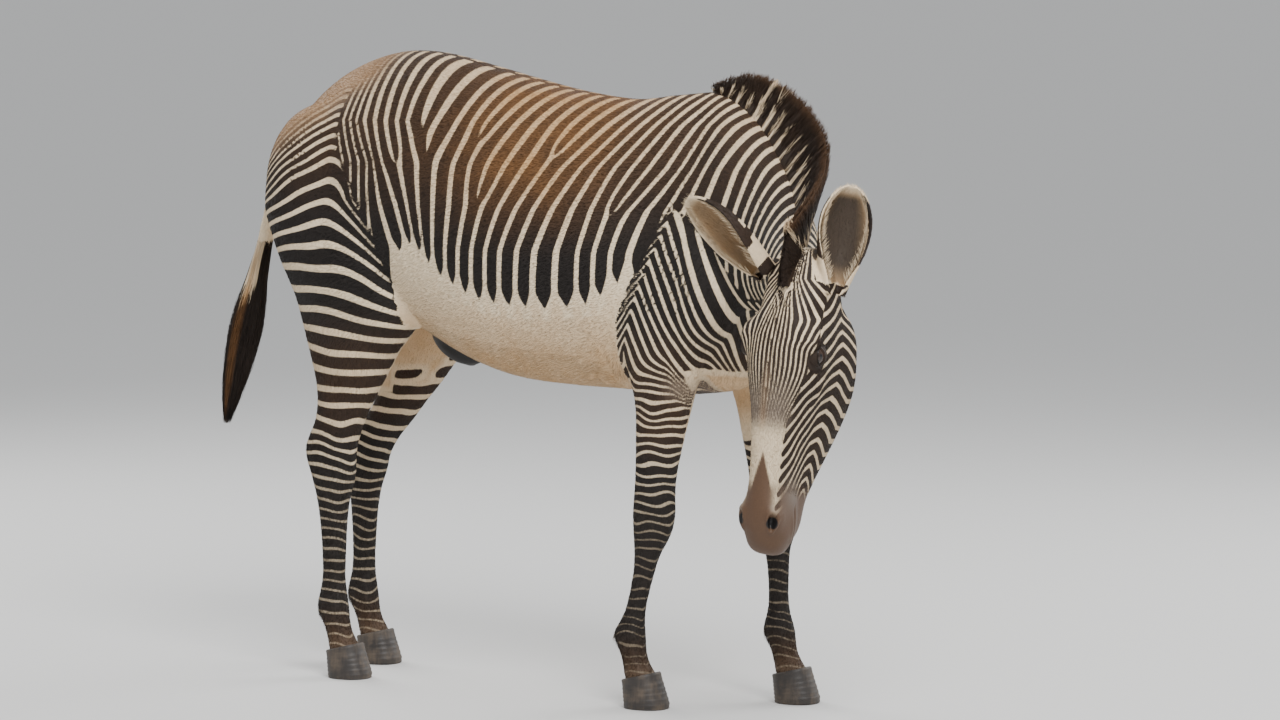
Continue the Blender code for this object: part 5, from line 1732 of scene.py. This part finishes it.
# ---------------------------------------------------------------- eyes and hooves
@dataclass
class Eyes:
    """Two dark eyeballs with a clear bulge and a level pupil."""

    segments: int = 64
    rings: int = 40
    inset: float = 0.0006                   # how much smaller the ball is than the solid's
    bulge: float = 0.0010
    pupil: tuple[float, float] = (0.0072, 0.0034)       # half length and half height
    lash_count: int = 70
    pieces: dict[str, bpy.types.Object] = field(default_factory=dict, init=False)

    def build(self) -> None:
        """Both eyes."""
        for name, side, centre in zip(("eye_left", "eye_right"), (1, -1), BODY.eyes()):
            bpy.ops.object.select_all(action="DESELECT")
            bpy.ops.mesh.primitive_uv_sphere_add(segments=self.segments, ring_count=self.rings,
                                                 radius=BODY.eye_radius - self.inset)
            piece = bpy.context.active_object
            piece.name = name + "_ball"
            left, front, down = BODY.head_axes()
            look = (left * side * BODY.gaze[0] + front * BODY.gaze[1] + down * BODY.gaze[2]).normalized()
            level = down * BODY.eye_slant[2] + front * BODY.eye_slant[1]
            level = (level - look * level.dot(look)).normalized()
            turn = Matrix((level, look.cross(level), look)).transposed()
            points = coordinates(piece.data)
            size = np.linalg.norm(points, axis=1)
            off = np.arccos(np.clip(points[:, 2] / size, -1, 1))
            points *= (1 + self.bulge / BODY.eye_radius * bell(off, 0, 0.55))[:, None]
            store(piece.data, "off", off)
            wide = np.hypot(points[:, 0] / self.pupil[0], points[:, 1] / self.pupil[1])
            store(piece.data, "slot", np.where(points[:, 2] > 0, wide, 9))
            move_to(piece.data, points @ np.array(turn).T + centre)
            piece.data.shade_smooth()
            self.pieces[name] = piece
            LOG.info("%s: %d faces", piece.name, len(piece.data.polygons))

    def lashes(self) -> bpy.types.Object:
        """Short dark lashes on the upper lids."""
        rng = np.random.default_rng(41)
        paths, sides, ups = [], [], []
        half, above, _ = Skin.opening
        left, front, down = rows_of(BODY.head_axes())
        for side, centre in zip((1, -1), BODY.eyes()):
            outward = unit((left * side * BODY.gaze[0] + front * BODY.gaze[1] + down * BODY.gaze[2])[None])[0]
            long_axis = front * BODY.eye_slant[1] + down * BODY.eye_slant[2]
            long_axis = unit((long_axis - outward * (long_axis @ outward))[None])[0]
            upper = np.cross(outward, long_axis)
            if upper @ front < 0:
                upper = -upper
            for _ in range(self.lash_count):
                u = rng.uniform(-0.72, 0.66)
                v = above * (1 - (abs(u) / half) ** 2) ** 0.75 + 0.03
                ray = long_axis * u + upper * v + outward * math.sqrt(max(1 - u * u - v * v, 0.05))
                root = centre + ray * (BODY.eye_radius + 0.0012)
                reach = rng.uniform(0.010, 0.015)
                out = unit((ray * 0.8 + upper * 0.05 + outward * 0.3 + long_axis * u * 0.3)[None])[0]
                paths.append([root + out * reach * k - upper * reach * 0.28 * k * k
                              for k in (0, 0.35, 0.7, 1.0)])
                sides.append(long_axis)
                ups.append(upper)
        count = len(paths)
        spots = np.stack([rng.uniform(0.05, 0.95, count), rng.uniform(0.05, 0.95, count)], axis=1)
        marks = hair_marks(np.full((count, 4), -MARKINGS.reach), np.zeros((count, 4)))
        mesh = strand_mesh("lashes", np.array(paths), np.array(sides), np.array(ups),
                           np.full(count, 0.0007), spots, marks, 43)
        return object_of("lashes", mesh)


@dataclass
class Hooves:
    """Four hooves: a sloping wall with growth rings, a rounded edge and a flat sole."""

    segments: int = 56
    # share of the way down, half width, reach forward, reach back, shift forward
    shape: tuple[Row, ...] = ((0.0, 0.042, 0.047, 0.045, 0.0), (0.35, 0.045, 0.053, 0.046, 0.004),
                              (0.85, 0.049, 0.063, 0.047, 0.010), (1.0, 0.0485, 0.0625, 0.046, 0.010))
    pieces: dict[str, bpy.types.Object] = field(default_factory=dict, init=False)

    def build(self) -> None:
        """All four hooves."""
        for fore in (True, False):
            for left in (True, False):
                name = f"{'foreleg' if fore else 'hindleg'}_{'left' if left else 'right'}_hoof"
                self.pieces[name] = self.one(name, BODY.leg_centre(fore, left, BODY.hoof_height))

    def one(self, name: str, spot: Vector) -> bpy.types.Object:
        """One hoof."""
        keys = [row[0] for row in self.shape]
        rings = []
        levels = [0.0, 0.012, 0.03] + [0.06 + 0.0465 * k for k in range(20)] + [0.975, 0.992, 1.0]
        for t in levels:
            half, fore, aft, shift = (float(np.interp(t, keys, [row[k] for row in self.shape]))
                                      for k in range(1, 5))
            swell = 0.0007 * math.sin(t * 46 + spot.x * 9) * (0.2 < t < 0.95) - 0.0012 * (t < 0.02)
            swell += 0.0008 * bell(t, 0.06, 0.05)
            edge = -0.0016 * (t > 0.985) - 0.0012 * (t > 0.999)
            grow = float(swell + edge)
            points = ring(spot + Vector((0, -shift, 0)), Vector((1, 0, 0)), Vector((0, -1, 0)), half + grow,
                          fore + grow, aft + grow, 2.3, self.segments)
            for point in points:
                top = BODY.hoof_height - 0.0006 - (point.y - spot.y) * math.tan(BODY.coronet_tilt)
                point.z = top * (1 - t)
            rings.append(points)
        bm = bmesh.new()
        loft(bm, rings)
        mesh = mesh_of(name + "_wall", bm)
        piece = object_of(name + "_horn", mesh)
        only(piece)
        bpy.ops.object.shade_smooth_by_angle(angle=math.radians(50))
        LOG.info("%s: %d faces", name, len(mesh.polygons))
        return piece


# ---------------------------------------------------------------- materials
class Wire:
    """A node socket on which sums can be written."""

    def __init__(self, graph: "Graph", socket: bpy.types.NodeSocket) -> None:
        """Keep the graph and the socket."""
        self.graph = graph
        self.socket = socket

    def math(self, operation: str, *values: "Wire | float") -> "Wire":
        """A Math node on this value and others."""
        return self.graph.node("ShaderNodeMath", {"operation": operation}, dict(enumerate((self, *values))))

    def __add__(self, other: "Wire | float") -> "Wire":
        """Sum."""
        return self.math("ADD", other)

    __radd__ = __add__

    def __sub__(self, other: "Wire | float") -> "Wire":
        """Difference."""
        return self.math("SUBTRACT", other)

    def __rsub__(self, other: float) -> "Wire":
        """Difference from a number."""
        return self.graph.node("ShaderNodeMath", {"operation": "SUBTRACT"}, {0: other, 1: self})

    def __mul__(self, other: "Wire | float") -> "Wire":
        """Product."""
        return self.math("MULTIPLY", other)

    def smooth(self, low: float, high: float) -> "Wire":
        """A smooth step from 0 at low to 1 at high."""
        return self.graph.node("ShaderNodeMapRange", {"interpolation_type": "SMOOTHSTEP"},
                               {"Value": self, "From Min": low, "From Max": high})


class Graph:
    """A material and its nodes."""

    def __init__(self, name: str) -> None:
        """Start an empty principled material."""
        self.material = bpy.data.materials.new(name)
        self.material.use_nodes = True
        self.tree = self.material.node_tree
        self.shader = self.tree.nodes["Principled BSDF"]

    def node(self, kind: str, settings: dict, inputs: dict, output: int | str = 0) -> Wire:
        """Add a node.

        Args:
            kind: the node's type.
            settings: its own options, set first.
            inputs: socket name or number to a number, a colour or a wire.
            output: which output to give back.

        Returns:
            The chosen output as a wire.
        """
        made = self.tree.nodes.new(kind)
        for key, value in settings.items():
            setattr(made, key, value)
        for key, value in inputs.items():
            if isinstance(value, Wire):
                self.tree.links.new(value.socket, made.inputs[key])
            else:
                made.inputs[key].default_value = value
        return Wire(self, made.outputs[output])

    def attribute(self, name: str) -> Wire:
        """A number stored on the mesh."""
        return self.node("ShaderNodeAttribute", {"attribute_name": name}, {}, "Fac")

    def mix(self, first: "Wire | Row", second: "Wire | Row", factor: "Wire | float") -> Wire:
        """A colour between two others."""
        inputs = {0: factor, 6: rgba(first), 7: rgba(second)}
        return self.node("ShaderNodeMix", {"data_type": "RGBA"}, inputs, 2)

    def shade(self, colour: Wire, amount: Wire) -> Wire:
        """A colour darkened or lightened by a number."""
        grey = self.node("ShaderNodeCombineColor", {}, {0: amount, 1: amount, 2: amount})
        settings = {"data_type": "RGBA", "blend_type": "MULTIPLY"}
        return self.node("ShaderNodeMix", settings, {0: 1.0, 6: colour, 7: grey}, 2)

    def noise(self, scale: float, detail: float = 2.0, stretch: Row = (1, 1, 1)) -> Wire:
        """A noise on the mesh's own coordinates, about 0.5 in the middle."""
        place = self.node("ShaderNodeTexCoord", {}, {}, "Object")
        if stretch != (1, 1, 1):
            place = self.node("ShaderNodeMapping", {}, {"Vector": place, "Scale": stretch})
        return self.node("ShaderNodeTexNoise", {}, {"Vector": place, "Scale": scale, "Detail": detail}, 0)

    def bump(self, height: Wire, strength: float, distance: float) -> None:
        """A bump on the shader's normal."""
        made = self.node("ShaderNodeBump", {}, {"Strength": strength, "Distance": distance, "Height": height})
        self.tree.links.new(made.socket, self.shader.inputs["Normal"])

    def set(self, **values: float | Row) -> None:
        """Constants on the shader's own sockets, words joined by an underscore."""
        for key, value in values.items():
            self.shader.inputs[key.replace("_", " ")].default_value = value

    def link(self, wire: Wire, socket: str) -> None:
        """Feed the shader."""
        self.tree.links.new(wire.socket, self.shader.inputs[socket])


def rgba(colour: "Wire | Row") -> "Wire | Row":
    """A colour with its fourth number."""
    return colour if isinstance(colour, Wire) else (*colour, 1.0)


class Surface(Enum):
    """What the marked finish is laid on."""

    SKIN = "skin"
    COAT = "coat"
    BRUSH = "brush"


@dataclass(frozen=True)
class Hide:
    """Cream and black-brown hair, dusted with rust and tanned by painted shade under the belly, with painted
    shade in the ear cups and painted shadow in the nostril holes, and the bare skin of muzzle and sheath.
    """

    cream: Row = (0.790, 0.645, 0.450)
    sand: Row = (0.560, 0.340, 0.160)
    # dark brown that the darkening mixes towards: painted shade in the ear cups and nostrils, and darker
    # towards the hooves and down the face
    darkening_and_shade: Row = (0.040, 0.028, 0.019)
    black: Row = (0.0100, 0.0066, 0.0050)
    brown: Row = (0.200, 0.088, 0.026)
    muzzle: Row = (0.085, 0.045, 0.024)
    # near-black bare skin: the sheath's own black skin, and painted shadow inside the nostrils
    black_skin_and_shadow: Row = (0.009, 0.008, 0.008)
    buff: Row = (0.340, 0.195, 0.090)
    slate: Row = (0.150, 0.122, 0.100)
    edge: float = 0.055             # half the width of a stripe's soft edge, in stored white
    hair_grain: float = 260.0       # noise scales: single hairs, patches of rust, pores
    patch_grain: float = 14.0
    pore_grain: float = 420.0

    def material(self, name: str, surface: Surface) -> bpy.types.Material:
        """The finish for skin, coat or mane."""
        graph = Graph(name)
        white, rust_and_shade, grey, bare, haze = map(graph.attribute, ("white", "rust_and_shade", "grey", "bare", "haze"))
        fine = graph.noise(self.hair_grain, 2.0)
        ragged = 0.10 if surface is Surface.SKIN else 0.03
        mask = (white + (fine - 0.5) * ragged).smooth(-self.edge, self.edge)
        broad = graph.noise(self.patch_grain, 3.0)
        warm = rust_and_shade * (broad * 0.9 + 0.45)
        # grey darkens the hair towards that brown, as painted shade where it marks the ear cups and nostrils
        pale = graph.mix(graph.mix(self.cream, self.sand, warm), self.darkening_and_shade, grey)
        dark = graph.mix(self.black, self.brown, rust_and_shade * (broad * 0.8 + 0.2))
        dark = graph.mix(dark, self.darkening_and_shade, grey * 0.12)
        middle = graph.mix(self.slate, self.buff, rust_and_shade)
        hair = graph.mix(graph.mix(dark, pale, mask), middle, haze)
        naked = graph.mix(self.muzzle, self.slate, haze * 0.7)
        # near-black where grey is high: the sheath's black skin, and painted shadow in the nostril holes
        naked = graph.mix(naked, self.black_skin_and_shadow, (grey - 0.3).smooth(0.0, 0.6))
        colour = graph.mix(hair, naked, bare)
        if surface is Surface.SKIN:
            tone = fine * 0.30 + 0.80
        else:
            tone = graph.attribute("tone") * 0.24 + 0.84
        graph.link(graph.shade(colour, tone), "Base Color")
        graph.link(0.66 - bare * 0.16, "Roughness")
        graph.set(Specular_IOR_Level=0.32)
        if surface is Surface.SKIN:
            graph.bump(graph.noise(self.pore_grain, 3.0), 0.45, 0.0009)
        return graph.material


@dataclass(frozen=True)
class EyeFinish:
    """Very dark brown with a level black pupil and a wet shine."""

    iris: Row = (0.030, 0.014, 0.007)
    pupil: Row = (0.002, 0.002, 0.003)
    rim: Row = (0.012, 0.008, 0.006)

    def material(self) -> bpy.types.Material:
        """The finish of the eyeball."""
        graph = Graph("wet_dark_eye")
        inside = graph.attribute("slot").smooth(1.15, 0.90)
        edge = graph.attribute("off").smooth(0.62, 0.80)
        iris = graph.mix(self.iris, self.rim, edge)
        graph.link(graph.mix(iris, self.pupil, inside), "Base Color")
        graph.set(Roughness=0.16, Coat_Weight=0.6, Coat_Roughness=0.03, Specular_IOR_Level=0.35)
        return graph.material


@dataclass(frozen=True)
class HornFinish:
    """Dull grey-brown horn, dusty, with fine upright lines and growth bands."""

    horn: Row = (0.026, 0.021, 0.018)
    dust: Row = (0.105, 0.078, 0.055)

    def material(self) -> bpy.types.Material:
        """The finish of the hooves."""
        graph = Graph("dusty_horn")
        lines = graph.noise(150.0, 3.0, (1.0, 1.0, 0.12))
        bands = graph.noise(60.0, 2.0, (0.25, 0.25, 3.0))
        broad = graph.noise(25.0, 3.0)
        share = (broad * 0.75 + lines * 0.30 + bands * 0.12).smooth(0.45, 0.85)
        graph.link(graph.mix(self.horn, self.dust, share), "Base Color")
        graph.link(0.50 + share * 0.25, "Roughness")
        graph.bump(lines * 0.6 + bands, 0.5, 0.0008)
        return graph.material


# ---------------------------------------------------------------- studio
@dataclass
class Studio:
    """Pale floor, soft lights and the camera."""

    azimuth: float = math.radians(-56)
    distance: float = 12.0
    height: float = 1.84
    # focal length and width of the sensor in millimetres, and how far down and to the right of a level
    # line through the animal the lens looks, as shares of the distance
    focal: float = 137.8125
    sensor: float = 36.0
    drop: float = 0.085714
    turn: float = 0.02
    aim_height: float = 0.9                 # what the lamps point at
    floor_size: float = 400.0
    floor: Row = (0.66, 0.655, 0.64)
    sky: Row = (0.95, 0.97, 1.0, 1.0)
    sky_strength: float = 0.75
    # name, place from the animal, diameter and power of each lamp
    lamps: tuple[tuple, ...] = (("key", (-3.6, -3.8, 5.2), 3.6, 520), ("fill", (4.5, -2.5, 3.2), 4.0, 170),
                                ("behind", (1.5, 5.0, 4.2), 3.5, 220))

    def build(self, origin: Vector) -> None:
        """Everything round the animal."""
        self.backdrop(origin)
        self.lights(origin)
        self.camera(origin)

    def backdrop(self, origin: Vector) -> None:
        """A wide plain floor."""
        bpy.ops.object.select_all(action="DESELECT")
        bpy.ops.mesh.primitive_plane_add(size=self.floor_size, location=(origin.x, origin.y, 0))
        floor = bpy.context.active_object
        floor.name = "floor"
        bpy.ops.object.mode_set(mode="EDIT")
        bpy.ops.mesh.subdivide(number_cuts=3)
        bpy.ops.object.mode_set(mode="OBJECT")
        bpy.ops.object.transform_apply(location=True, rotation=True, scale=True)
        graph = Graph("pale_floor")
        graph.set(Base_Color=(*self.floor, 1.0), Roughness=0.9)
        floor.data.materials.append(graph.material)

    def lights(self, origin: Vector) -> None:
        """A large soft key, a fill, a light from behind and an even sky."""
        for name, place, size, power in self.lamps:
            lamp = bpy.data.lights.new(name, "AREA")
            lamp.shape = "DISK"
            lamp.size = size
            lamp.energy = power
            light = bpy.data.objects.new(name, lamp)
            light.location = origin + Vector(place)
            aim = (origin + Vector((0, 0, self.aim_height))) - light.location
            light.rotation_euler = aim.to_track_quat("-Z", "Y").to_euler()
            bpy.context.scene.collection.objects.link(light)
        world = bpy.data.worlds.new("soft_sky")
        world.use_nodes = True
        world.node_tree.nodes["Background"].inputs["Color"].default_value = self.sky
        world.node_tree.nodes["Background"].inputs["Strength"].default_value = self.sky_strength
        bpy.context.scene.world = world

    def camera(self, origin: Vector) -> None:
        """A long lens from the animal's right front, a little above its back."""
        a = self.azimuth
        place = Vector((math.sin(a) * self.distance, -math.cos(a) * self.distance, self.height))
        pitch, yaw = math.atan(self.drop), math.atan(self.turn)
        ahead, right = Vector((-math.sin(a), math.cos(a), 0)), Vector((math.cos(a), math.sin(a), 0))
        look = ahead * math.cos(yaw) + right * math.sin(yaw)
        look = look * math.cos(pitch) + Vector((0, 0, -1)) * math.sin(pitch)
        across_view = look.cross(Vector((0, 0, 1))).normalized()
        up = across_view.cross(look)
        data = bpy.data.cameras.new("camera")
        data.sensor_width = self.sensor
        data.lens = self.focal
        data.clip_end = 200.0
        camera = bpy.data.objects.new("camera", data)
        turn = Matrix((across_view, up, -look)).transposed().to_4x4()
        camera.matrix_world = Matrix.Translation(origin + place) @ turn
        bpy.context.scene.collection.objects.link(camera)
        bpy.context.scene.camera = camera


# ---------------------------------------------------------------- assembly
def settle(piece: bpy.types.Object, origin: Vector, material: bpy.types.Material) -> None:
    """Move a piece's mesh to the shared frame and dress it."""
    piece.data.transform(Matrix.Translation(origin))
    piece.data.materials.clear()
    piece.data.materials.append(material)
    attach(piece, "root")


def main() -> None:
    """Build every piece in order and report it."""
    logging.basicConfig(level=logging.INFO, format="%(message)s")
    bpy.ops.object.select_all(action="DESELECT")
    origin = BODY.origin()
    hide = Hide()
    on_skin = hide.material("short_coat_on_skin", Surface.SKIN)
    on_coat = hide.material("coat_hair", Surface.COAT)
    on_brush = hide.material("mane_and_tail_hair", Surface.BRUSH)

    skin = Skin()
    skin.build()
    join_ears(skin.piece)
    skin.finish()
    coat = Coat()
    coat.build(skin.piece)
    mane = Mane()
    mane.build()
    tail = Tail()
    tail.build()
    eyes = Eyes()
    eyes.build()
    lashes = eyes.lashes()
    hooves = Hooves()
    hooves.build()

    settle(skin.piece, origin, on_skin)
    legs = [f"{leg}_{side}_{part}" for leg in ("foreleg", "hindleg") for side in ("left", "right")
            for part in ("upper", "cannon", "pastern")]
    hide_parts(*skin.replaced, "ear_left", "ear_right", *legs)
    for piece in coat.pieces:
        settle(piece, origin, on_coat)
    for piece in mane.pieces:
        settle(piece, origin, on_brush)
    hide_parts("mane")
    for piece in tail.pieces:
        settle(piece, origin, on_brush)
    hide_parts("tail_tuft")
    dark_eye = EyeFinish().material()
    for name, piece in eyes.pieces.items():
        settle(piece, origin, dark_eye)
        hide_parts(name)
    settle(lashes, origin, on_brush)
    settle(ear_fringe(), origin, on_brush)
    horn = HornFinish().material()
    for name, piece in hooves.pieces.items():
        settle(piece, origin, horn)
        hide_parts(name)
    Studio().build(origin)


if __name__ == "__main__":
    main()
